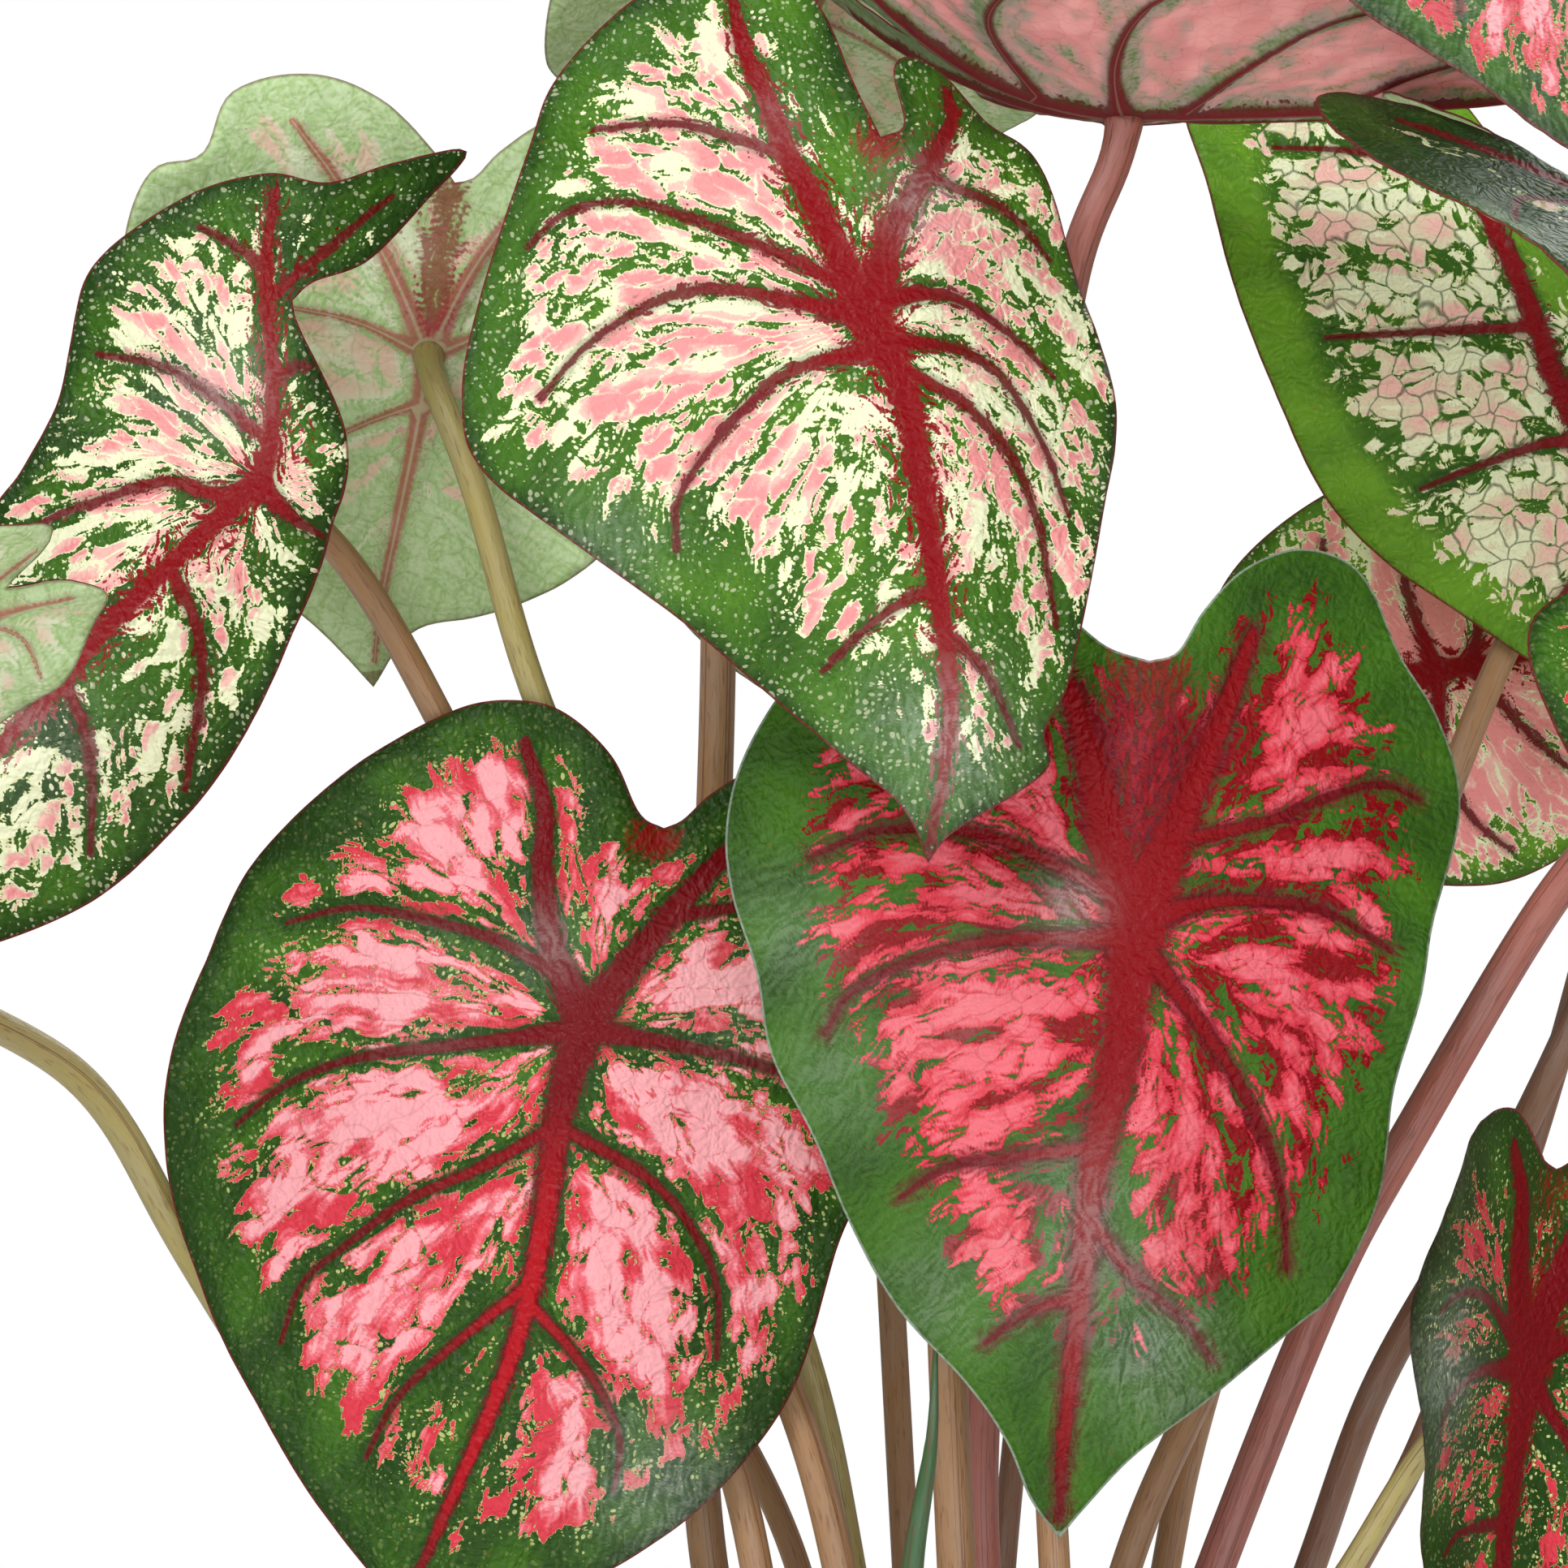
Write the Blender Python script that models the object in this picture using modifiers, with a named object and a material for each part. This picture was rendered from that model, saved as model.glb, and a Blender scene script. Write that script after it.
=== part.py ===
"""A caladium in a plain pot: waved heart-shaped blades on curved petioles, soil, tuber and pot.

Metres, +Z up. The origin is the middle of the pot's underside, and -Y is the side that faces the viewer.
"""

import math

import bmesh
import bpy
import numpy as np
from mathutils import Matrix, Vector
from mathutils.geometry import delaunay_2d_cdt

MM = 0.001

# Pot
POT_HEIGHT = 140 * MM
POT_TOP_RADIUS = 82 * MM
POT_FOOT_RADIUS = 60 * MM
POT_WALL = 5 * MM
POT_FLOOR = 6 * MM
RIM_HEIGHT = 24 * MM
RIM_STEP = 3.5 * MM
DRAIN_RADIUS = 5 * MM
DRAIN_CIRCLE = 32 * MM
DRAIN_COUNT = 4
POT_SIDES = 40

# Soil and tuber
SOIL_LEVEL = 126 * MM
SOIL_CROWN = 3 * MM
TUBER_CENTRE = Vector((0, 0, 97 * MM))
TUBER_RADII = Vector((62 * MM, 50 * MM, 17 * MM))
CONTACT_GAP = 0.3 * MM
STEM_CLEARANCE = 0.7 * MM
HOLE_SIDES = 10
HOLE_BELOW = 4 * MM
HOLE_ABOVE = 2 * MM

# Blades
BLADE_THICKNESS = 0.8 * MM
RIB_DEPTH = 1.6 * MM
RIB_SPREAD = 5 * MM
WAVE_REACH = 13 * MM
FOLD_ROUNDING = 9 * MM
TIP_REACH = 110
LOBE_REACH = 70
WAVE_START = 30
MARGIN_STEP = 12 * MM
RIB_STEP = 17 * MM
RIB_END_CLEARANCE = 5 * MM
PAD_REACH = 12 * MM
PAD_RADIUS = 5.5 * MM
PAD_SIDES = 6
PAD_CLEARANCE = 9 * MM
FILL_STEP = 19 * MM
FILL_CLEARANCE = 7 * MM

# Petioles
PETIOLE_RESOLUTION = 1
PETIOLE_POINTS = 12
NECK_LENGTH = 10 * MM
SEAT_LENGTH = 3 * MM
COLLAR_LEVEL = 134 * MM
FOOT_LEAN = 0.4
FOOT_CHECKS = 16
TOP_TAPER = 0.8
END_CROWDING = 1.7

# Blade shapes, seen face on in millimetres from the petiole's joint: x right, y up, tip at the bottom.
# "right" runs from the notch to the tip, and "left" from the tip to the notch.
BROAD = {
    "right": [(3, 38), (8, 41), (6, 52), (9, 56), (17, 54), (27, 46), (38, 39), (46, 19), (54, -6),
              (55, -20), (51, -37), (43, -72), (37, -84), (38, -91), (30, -98), (16, -107), (11, -113)],
    "left": [(11, -113), (6, -102), (-5, -92), (-28, -72), (-58, -48), (-80, -31), (-84, -15), (-80, 6),
             (-70, 36), (-64, 52), (-50, 67), (-32, 77), (-17, 76), (-8, 66), (-2, 50), (3, 38)],
    "midrib": [(0, 0), (7, -15), (11, -38), (14, -60), (16, -78), (14, -97), (11, -110)],
    "ribs": [
        [(0, 0), (-10, 22), (-16, 34), (-20, 46), (-25, 58), (-27, 69)],
        [(0, 0), (5, 17), (13, 32), (19, 44), (18, 50)],
        [(-16, 34), (-26, 38), (-40, 42), (-56, 41)],
        [(-7, 8), (-28, 18), (-48, 25), (-62, 23), (-70, 16)],
        [(0, 0), (-14, 3), (-28, 6), (-41, 5), (-57, -4), (-68, -16)],
        [(2, -7), (-16, -11), (-28, -21), (-39, -36), (-40, -48)],
        [(3, 4), (18, 6), (30, 1), (41, -8)],
        [(5, -5), (25, -7), (37, -22), (43, -38)],
        [(6, -10), (25, -21), (35, -37), (40, -62)],
        [(13, 32), (19, 30), (30, 27), (41, 18)],
        [(13, -56), (2, -62), (-10, -73)],
        [(15, -66), (24, -74), (31, -88)],
    ],
}
ROUND = {
    "right": [(15, 41), (19, 43), (25, 49), (34, 54), (46, 54), (57, 44), (65, 27), (67, 4), (64, -16),
              (57, -34), (52, -46), (45, -70), (38, -84), (26, -99), (14, -109), (0, -117), (-20, -122),
              (-37, -124)],
    "left": [(-37, -124), (-48, -112), (-59, -98), (-69, -82), (-78, -67), (-84, -54), (-90, -38),
             (-92, -21), (-90, -5), (-84, 12), (-76, 31), (-62, 46), (-45, 59), (-29, 67), (-16, 68),
             (-6, 65), (4, 56), (10, 44), (15, 41)],
    "midrib": [(0, 0), (-5, -18), (-9, -47), (-15, -71), (-25, -95), (-33, -113), (-37, -122)],
    "ribs": [
        [(0, 0), (-7, 14), (-10, 31), (-10, 45), (-15, 59)],
        [(0, 0), (12, 16), (22, 29), (32, 39), (43, 47)],
        [(-5, 9), (-20, 17), (-38, 22), (-52, 24), (-66, 21)],
        [(0, -2), (-26, -5), (-50, -8), (-66, -14), (-76, -22)],
        [(-6, -22), (-20, -30), (-38, -38), (-52, -48), (-61, -56), (-65, -68)],
        [(-12, -56), (-26, -67), (-39, -79), (-46, -92)],
        [(0, -2), (20, -5), (34, -8), (58, -16)],
        [(-6, -22), (12, -32), (22, -43), (27, -55), (27, -70)],
        [(-12, -58), (0, -72), (7, -86), (6, -98)],
        [(17, 22), (34, 25), (54, 25)],
    ],
}
LONG = {
    "right": [(3, 54), (9, 56), (15, 65), (24, 74), (36, 79), (47, 77), (53, 70), (58, 57), (66, 44),
              (71, 30), (70, 18), (64, 0), (61, -16), (56, -33), (54, -46), (51, -59), (42, -76),
              (34, -83), (15, -98), (-1, -109), (-12, -120), (-17, -126)],
    "left": [(-17, -126), (-23, -118), (-28, -106), (-36, -94), (-50, -78), (-60, -60), (-67, -43),
             (-75, -26), (-78, -9), (-83, 7), (-84, 21), (-80, 36), (-70, 52), (-55, 66), (-38, 73),
             (-24, 72), (-12, 63), (-5, 57), (3, 54)],
    "midrib": [(0, 0), (-4, -26), (-10, -53), (-13, -80), (-16, -106), (-17, -122)],
    "ribs": [
        [(0, 0), (6, 14), (12, 28), (20, 46), (26, 61)],
        [(0, 0), (-5, 14), (-8, 28), (-13, 48), (-24, 62)],
        [(7, 17), (27, 21), (40, 26), (53, 30), (62, 27)],
        [(0, 0), (13, 4), (27, 5), (41, 3), (55, -5)],
        [(0, -4), (17, -26), (27, -43), (31, -57), (32, -71)],
        [(0, 3), (-20, 14), (-33, 19), (-52, 20), (-66, 15)],
        [(0, -3), (-14, -3), (-27, -3), (-43, -6), (-58, -13), (-64, -22)],
        [(-9, -46), (-27, -48), (-40, -50), (-49, -56)],
        [(-11, -60), (-2, -72), (10, -82), (16, -90)],
        [(-12, -76), (-24, -80), (-32, -86)],
    ],
}
SWEPT = {
    "right": [(6, 37), (7, 33), (12, 22), (17, 10), (17, 0), (13, -11), (7, -26), (-4, -47), (-17, -65),
              (-34, -82), (-49, -91), (-66, -97), (-83, -99), (-97, -98)],
    "left": [(-97, -98), (-94, -82), (-86, -62), (-76, -40), (-66, -20), (-57, -5), (-51, 3), (-45, 15),
             (-42, 29), (-38, 43), (-28, 53), (-15, 61), (0, 64), (12, 62), (24, 67), (38, 71), (31, 60),
             (20, 46), (10, 41), (6, 37)],
    "midrib": [(0, 0), (-16, -15), (-32, -31), (-44, -45), (-56, -57), (-92, -94)],
    "ribs": [
        [(0, 0), (2, 8), (2, 23), (0, 42), (1, 60)],
        [(1, 43), (-7, 49), (-15, 53)],
        [(-1, 10), (-11, 18), (-22, 24), (-36, 27)],
        [(0, 0), (-8, -3), (-20, 0), (-32, -3), (-44, -7), (-58, -14)],
        [(-18, -18), (-14, -29), (-14, -42), (-19, -62)],
        [(-30, -30), (-44, -28), (-60, -32), (-74, -42)],
        [(-40, -40), (-36, -56), (-38, -76)],
        [(1, -2), (6, -7), (12, -11)],
        [(2, 20), (8, 24), (11, 21)],
        [(2, 38), (12, 48), (24, 60)],
    ],
}
SMALL = {
    "right": [(-6, 36), (-1, 44), (9, 54), (23, 59), (38, 56), (44, 44), (54, 41), (60, 28), (62, 8),
              (58, -14), (50, -30), (36, -46), (25, -56), (18, -64), (13, -70)],
    "left": [(13, -70), (5, -59), (-8, -55), (-20, -50), (-33, -42), (-48, -26), (-58, -6), (-60, 14),
             (-54, 32), (-42, 46), (-28, 50), (-16, 43), (-10, 37), (-6, 36)],
    "midrib": [(0, 0), (3, -16), (7, -34), (11, -52), (13, -68)],
    "ribs": [
        [(0, 0), (8, 20), (18, 38), (26, 50)],
        [(0, 0), (-8, 16), (-18, 30), (-30, 42)],
        [(0, 0), (16, 8), (34, 12), (50, 12)],
        [(0, 0), (-16, 6), (-34, 8), (-50, 8)],
        [(2, -10), (18, -16), (34, -26), (40, -36)],
        [(2, -10), (-14, -18), (-28, -28), (-38, -34)],
    ],
}

WIDE = {
    "right": [(2, 42), (10, 46), (26, 60), (46, 68), (66, 64), (82, 50), (90, 30), (90, 8), (84, -16),
              (74, -40), (62, -62), (52, -78), (44, -88)],
    "left": [(44, -88), (30, -74), (10, -58), (-8, -46), (-23, -37), (-37, -28), (-50, -18), (-64, -2),
             (-75, 22), (-82, 44), (-86, 69), (-89, 83), (-90, 97), (-82, 108), (-68, 114), (-50, 110),
             (-35, 97), (-24, 80), (-14, 62), (-5, 47), (2, 42)],
    "midrib": [(0, 0), (12, -24), (26, -52), (42, -84)],
    "ribs": [
        [(0, 0), (-11, 20), (-15, 34), (-22, 54), (-34, 80), (-48, 98)],
        [(-15, 34), (-42, 33), (-62, 32)],
        [(0, 0), (-10, 8), (-26, 4), (-42, -2)],
        [(-27, 66), (-48, 74), (-70, 76)],
        [(4, -8), (-8, -22), (-16, -34)],
        [(0, 0), (14, 22), (38, 46), (54, 56)],
        [(0, 0), (30, 6), (60, 4), (74, 0)],
        [(6, -12), (34, -18), (62, -34)],
        [(16, -32), (36, -46), (50, -58)],
    ],
}

# What the triangulation is asked for: the triangles inside the margin
INSIDE_FACES = 1
MERGE_DISTANCE = 0.1 * MM


def heart(width, tip, lobe, notch):
    """Give an even heart shape by its half width and its reach below and above the petiole's joint."""
    inner = lobe - notch
    side = [(0.05 * width, notch + 0.3 * inner), (0.11 * width, notch + 0.65 * inner),
            (0.22 * width, lobe * 0.95), (0.38 * width, lobe), (0.57 * width, 0.91 * lobe),
            (0.76 * width, 0.68 * lobe), (0.91 * width, 0.36 * lobe), (0.99 * width, 0),
            (0.97 * width, -0.2 * tip), (0.84 * width, -0.42 * tip), (0.63 * width, -0.6 * tip),
            (0.41 * width, -0.76 * tip), (0.2 * width, -0.89 * tip)]
    right = [(0, notch)] + side + [(0, -tip)]
    ribs = [
        [(0, 0), (0.08 * width, 0.38 * lobe), (0.24 * width, 0.82 * lobe)],
        [(0.05 * width, 0.24 * lobe), (0.4 * width, 0.42 * lobe), (0.72 * width, 0.36 * lobe)],
        [(0, 0), (0.35 * width, 0.04 * lobe), (0.66 * width, -0.02 * tip), (0.86 * width, -0.14 * tip)],
        [(0, -0.1 * tip), (0.3 * width, -0.22 * tip), (0.55 * width, -0.36 * tip),
         (0.62 * width, -0.5 * tip)],
        [(0, -0.4 * tip), (0.2 * width, -0.52 * tip), (0.34 * width, -0.68 * tip)],
    ]
    mirrored = [[(-x, y) for x, y in path] for path in ribs]
    return {
        "right": right,
        "left": [(-x, y) for x, y in reversed(right)],
        "midrib": [(0, 0), (0, -0.35 * tip), (0, -0.7 * tip), (0, -0.97 * tip)],
        "ribs": ribs + mirrored,
    }


HEART = heart(72, 112, 70, 38)
NARROW = heart(52, 60, 88, 52)

# Every leaf: its colouring, its shape and size, the joint's place, and how the blade stands. "turn" swings
# the face round from the viewer (-Y) towards +X, "tilt" leans it up and "roll" spins it anticlockwise, all
# in degrees. "fold" gives the slopes of the left and right halves, and "bow" the bend of the tip and of the
# lobes in millimetres, both towards the upper face where positive. "wave" is the height of the waves, their
# count and where they start. The petiole runs from its foot in the soil through its bends to the joint.
LEAVES = {
    "centre": dict(
        colouring="pale", shape=BROAD, size=0.97, joint=(-23, -64, 471), turn=4, tilt=10, roll=0,
        fold=(-6, -42), bow=(-6, -7),
        wave=(2.2, 9, 20), foot=(0, -10), radius=4.3,
        bends=[(-4, -12, 212), (-6, -10, 258), (-9, -8, 340), (-12, -6, 400), (-17, -22, 442)]),
    "low_left": dict(
        colouring="pink", shape=ROUND, size=0.99, joint=(-81, -20, 326), turn=-6, tilt=8, roll=0,
        fold=(-12, -20), bow=(-5, -8),
        wave=(1.8, 8, 60), foot=(-14, -20), radius=3.8,
        bends=[(-29, -10, 213), (-40, -4, 249), (-60, 2, 288)]),
    "low_right": dict(
        colouring="red", shape=LONG, size=0.99, joint=(32, -45, 348), turn=4, tilt=8, roll=0,
        fold=(-10, -20), bow=(-7, -2),
        wave=(2.4, 8, 150), foot=(20, -28), radius=3.5,
        bends=[(16, -30, 212), (15, -27, 250), (22, -24, 300)]),
    "left": dict(
        colouring="pale", shape=SWEPT, size=1.0, joint=(-147, -36, 438), turn=-6, tilt=6, roll=0,
        fold=(-14, -30), bow=(-8, -8),
        wave=(2.4, 7, 10), foot=(-32, -12), radius=3.6,
        bends=[(-46, -8, 211), (-51, -5, 232), (-80, 10, 320), (-112, 12, 386), (-130, 2, 419)]),
    "left_rear": dict(
        colouring="pale", shape=SMALL, size=1.04, joint=(-115, 22, 464), turn=178, tilt=14, roll=0,
        fold=(-12, -12), bow=(-8, -6),
        wave=(2.0, 7, 80), foot=(-14, 6), radius=3.4,
        bends=[(-27, 8, 214), (-36, 9, 254), (-62, 10, 326), (-91, 4, 389), (-105, 4, 437)]),
    "top_rear": dict(
        colouring="pale", shape=HEART, size=0.8, joint=(-35, 80, 545), turn=180, tilt=55, roll=0,
        fold=(-14, -14), bow=(-6, -6),
        wave=(2.4, 7, 30), foot=(-40, 12), radius=4.2,
        bends=[(-57, 20, 214), (-57, 24, 300), (-54, 30, 400), (-54, 50, 490), (-44, 68, 526)]),
    "upper_right": dict(
        colouring="pink", shape=HEART, size=0.98, joint=(31, 6, 515), turn=180, tilt=78, roll=-90,
        fold=(14, 14), bow=(6, 34),
        wave=(1.6, 7, 0), foot=(6, 12), radius=4.2,
        bends=[(2, 14, 207), (2, 15, 240), (8, 15, 340), (15, 10, 440), (22, 4, 488)]),
    "top_right": dict(
        colouring="pink", shape=HEART, size=0.97, joint=(131, -62, 565), turn=16, tilt=32, roll=66,
        fold=(-10, -14), bow=(-12, -6),
        wave=(2.4, 7, 120), foot=(42, -4), radius=3.0,
        bends=[(81, 2, 210), (94, 4, 233), (122, 34, 300), (144, 50, 380), (156, 50, 450), (156, 30, 510),
               (146, -16, 542)]),
    "right": dict(
        colouring="pale", shape=WIDE, size=1.0, joint=(143, 95, 437), turn=10, tilt=6, roll=0,
        fold=(-8, -20), bow=(-8, -10),
        wave=(2.0, 6, 40), foot=(14, 26), radius=3.6,
        bends=[(34, 38, 204), (49, 44, 238), (84, 64, 310), (108, 86, 372), (123, 102, 404),
               (136, 108, 424)]),
    "right_fold": dict(
        colouring="pale", shape=NARROW, size=0.97, joint=(148, -52, 481), turn=58, tilt=58, roll=7,
        fold=(-10, -16), bow=(-8, -6),
        wave=(1.6, 6, 90), foot=(46, 18), radius=3.5,
        bends=[(73, 22, 207), (87, 22, 246), (116, 22, 297), (138, 24, 350), (148, 16, 420),
               (150, -20, 454)]),
    "right_rear": dict(
        colouring="pink", shape=HEART, size=0.68, joint=(107, 122, 393), turn=10, tilt=14, roll=100,
        fold=(-14, -12), bow=(-8, -6),
        wave=(2.0, 7, 70), foot=(30, 30), radius=3.4,
        bends=[(43, 48, 202), (50, 60, 231), (78, 113, 310), (98, 142, 364)]),
    "right_edge": dict(
        colouring="pink", shape=HEART, size=0.72, joint=(165, -60, 404), turn=10, tilt=16, roll=60,
        fold=(-8, -14), bow=(-10, -8),
        wave=(2.2, 7, 10), foot=(24, 2), radius=4.4,
        bends=[(52, 6, 210), (75, 7, 268), (90, 7, 296), (124, 4, 354), (146, -4, 376), (160, -28, 394)]),
    "low_corner": dict(
        colouring="red", shape=LONG, size=0.71, joint=(110, -70, 262), turn=-54, tilt=8, roll=6,
        fold=(-24, -12), bow=(-8, -6),
        wave=(1.8, 7, 50), foot=(38, -18), radius=2.8,
        bends=[(62, -14, 186), (79, -11, 211), (95, -9, 237), (114, -26, 256)]),
    "left_edge": dict(
        colouring="pale", shape=HEART, size=0.47, joint=(-208, -96, 408), turn=-140, tilt=40, roll=40,
        fold=(-10, -10), bow=(-8, -6),
        wave=(1.6, 7, 0), foot=(-48, -6), radius=3.8,
        bends=[(-84, 0, 172), (-126, 6, 214), (-166, 8, 275), (-178, 4, 299), (-188, -6, 314),
               (-202, -24, 325), (-214, -56, 336), (-217, -88, 356), (-210, -106, 382)]),
    "rear_left": dict(
        colouring="pink", shape=ROUND, size=0.72, joint=(-98, 100, 306), turn=-168, tilt=30, roll=0,
        fold=(-12, -10), bow=(-12, -8),
        wave=(2.2, 7, 140), foot=(-26, 30), radius=3.0,
        bends=[(-36, 42, 200), (-62, 58, 250)]),
    "rear_middle": dict(
        colouring="pale", shape=HEART, size=0.76, joint=(-30, 128, 452), turn=174, tilt=32, roll=0,
        fold=(-12, -12), bow=(-14, -8),
        wave=(2.4, 7, 75), foot=(-10, 36), radius=3.2,
        bends=[(-14, 54, 210), (-20, 74, 320), (-26, 92, 400)]),
    "rear_right": dict(
        colouring="red", shape=BROAD, size=0.7, joint=(18, 132, 330), turn=168, tilt=36, roll=0,
        fold=(-10, -14), bow=(-12, -8),
        wave=(2.2, 8, 15), foot=(2, 38), radius=3.0,
        bends=[(8, 62, 200), (14, 84, 260)]),
    "rear_low": dict(
        colouring="pink", shape=LONG, size=0.56, joint=(22, 128, 170), turn=168, tilt=52, roll=0,
        fold=(-12, -10), bow=(-10, -6),
        wave=(2.0, 7, 100), foot=(15, 41), radius=2.6,
        bends=[(17, 74, 162), (22, 100, 168)]),
    "side_left": dict(
        colouring="pale", shape=HEART, size=0.62, joint=(-134, 46, 186), turn=-104, tilt=52, roll=0,
        fold=(-12, -12), bow=(-12, -8),
        wave=(2.2, 7, 55), foot=(-28, 17), radius=2.6,
        bends=[(-74, 30, 158), (-108, 38, 172)]),
}

# The rolled new leaf: foot, bends and tip in millimetres, with its radius at each
NEW_LEAF_PATH = [(-12, -34, 116), (-15, -37, 160), (-14, -41, 210), (-10, -44, 240), (-9, -45, 262)]
NEW_LEAF_RADII = [3.2, 3.6, 3.2, 2.0, 0.5]
NEW_LEAF_STEP = 14 * MM

# Colours of the plain materials
BLADE_COLOURS = {"pale": (0.62, 0.48, 0.34), "pink": (0.66, 0.2, 0.22), "red": (0.55, 0.09, 0.13)}
PETIOLE_COLOUR = (0.36, 0.22, 0.14)
NEW_LEAF_COLOUR = (0.16, 0.32, 0.08)
SOIL_COLOUR = (0.06, 0.035, 0.02)
TUBER_COLOUR = (0.25, 0.14, 0.08)
POT_COLOUR = (0.55, 0.22, 0.12)


def set_up():
    """Empty the scene and give it a collection for the object and one for the cutters."""
    for item in list(bpy.data.objects):
        bpy.data.objects.remove(item, do_unlink=True)
    made = bpy.data.collections.new("caladium")
    cutters = bpy.data.collections.new("cutters")
    bpy.context.scene.collection.children.link(made)
    bpy.context.scene.collection.children.link(cutters)
    return made, cutters


def material(name, colour, roughness):
    """Give a plain Principled material."""
    made = bpy.data.materials.new(name)
    made.use_nodes = True
    surface = made.node_tree.nodes["Principled BSDF"]
    surface.inputs["Base Color"].default_value = (*colour, 1)
    surface.inputs["Roughness"].default_value = roughness
    surface.inputs["Metallic"].default_value = 0
    return made


def add_object(name, mesh, collection, surface=None):
    """Put a mesh in a collection as an object of its own."""
    made = bpy.data.objects.new(name, mesh)
    collection.objects.link(made)
    if surface:
        mesh.materials.append(surface)
    return made


def as_cutter(item):
    """Mark an object as a cutter that is not part of the model."""
    item.hide_render = True
    item.display_type = "WIRE"
    return item


def smooth_path(points, step):
    """Give points about a step apart on a smooth curve through the given ones."""
    points = np.asarray(points, float)
    padded = np.vstack([2 * points[0] - points[1], points, 2 * points[-1] - points[-2]])
    found = []
    for before, start, end, after in zip(padded, padded[1:], padded[2:], padded[3:]):
        t = np.linspace(0, 1, 12, endpoint=False)[:, None]
        found.append(0.5 * (2 * start + (end - before) * t + (2 * before - 5 * start + 4 * end - after) * t**2
                            + (3 * start - before - 3 * end + after) * t**3))
    dense = np.vstack(found + [points[-1:]])
    along = np.concatenate([[0], np.cumsum(np.linalg.norm(np.diff(dense, axis=0), axis=1))])
    count = max(2, int(round(along[-1] / step)) + 1)
    wanted = np.linspace(0, along[-1], count)
    return np.stack([np.interp(wanted, along, dense[:, i]) for i in range(dense.shape[1])], axis=1)


def distance_to_path(points, path):
    """Give each point's distance to the nearest stretch of a path."""
    start = path[:-1][None]
    run = (path[1:] - path[:-1])[None]
    offset = points[:, None] - start
    share = np.clip((offset * run).sum(-1) / np.maximum((run * run).sum(-1), 1e-12), 0, 1)
    return np.linalg.norm(offset - share[..., None] * run, axis=-1).min(axis=1)


def blade_lines(leaf, step):
    """Give a blade's margin, midrib and other ribs as smooth paths in metres."""
    scale = leaf["size"] * MM
    shape = leaf["shape"]
    right = smooth_path(shape["right"], step / scale)
    left = smooth_path(shape["left"], step / scale)
    margin = np.vstack([right[:-1], left[:-1]]) * scale
    midrib = smooth_path(shape["midrib"], RIB_STEP / scale) * scale
    ribs = [smooth_path(path, RIB_STEP / scale) * scale for path in shape["ribs"]]
    return margin, midrib, ribs


def blade_height(points, leaf, margin, midrib, ribs):
    """Give the height of a blade over its plane: its fold, bow, ribs and waved edge."""
    left_slope, right_slope = (math.tan(math.radians(angle)) for angle in leaf["fold"])
    tip_bow, lobe_bow = (value * MM for value in leaf["bow"])
    wave, count, phase = leaf["wave"]
    scale = leaf["size"] * MM
    order = np.argsort(midrib[:, 1])
    side = points[:, 0] - np.interp(points[:, 1], midrib[order, 1], midrib[order, 0])
    slope = np.where(side > 0, right_slope, left_slope)
    fold = slope * (np.sqrt(side**2 + FOLD_ROUNDING**2) - FOLD_ROUNDING)
    level = 1 - np.exp(-((np.hypot(points[:, 0], points[:, 1]) / PAD_REACH) ** 2))
    below = points[:, 1] < 0
    reach = np.where(below, -points[:, 1] / (TIP_REACH * scale), points[:, 1] / (LOBE_REACH * scale))
    bow = np.where(below, tip_bow, lobe_bow) * reach**2
    edge = distance_to_path(points, np.vstack([margin, margin[:1]]))
    rib = np.min([distance_to_path(points, path) for path in [midrib] + ribs], axis=0)
    angle = np.arctan2(points[:, 0], -points[:, 1])
    waves = wave * MM * np.sin(count * angle + math.radians(phase)) * np.exp(-edge / WAVE_REACH)
    waves = waves * np.clip(np.hypot(points[:, 0], points[:, 1]) / (WAVE_START * scale), 0, 1) ** 2
    quilt = RIB_DEPTH * (1 - np.exp(-rib / RIB_SPREAD))
    return level * (fold + quilt) + bow + waves


def leaf_matrix(leaf):
    """Give the matrix from a blade's plane to the world."""
    face_viewer = Matrix.Rotation(math.radians(90), 4, "X")
    roll = Matrix.Rotation(math.radians(leaf["roll"]), 4, "Z")
    tilt = Matrix.Rotation(math.radians(-leaf["tilt"]), 4, "X")
    turn = Matrix.Rotation(math.radians(leaf["turn"]), 4, "Z")
    place = Matrix.Translation(Vector(leaf["joint"]) * MM)
    return place @ turn @ tilt @ face_viewer @ roll


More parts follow.
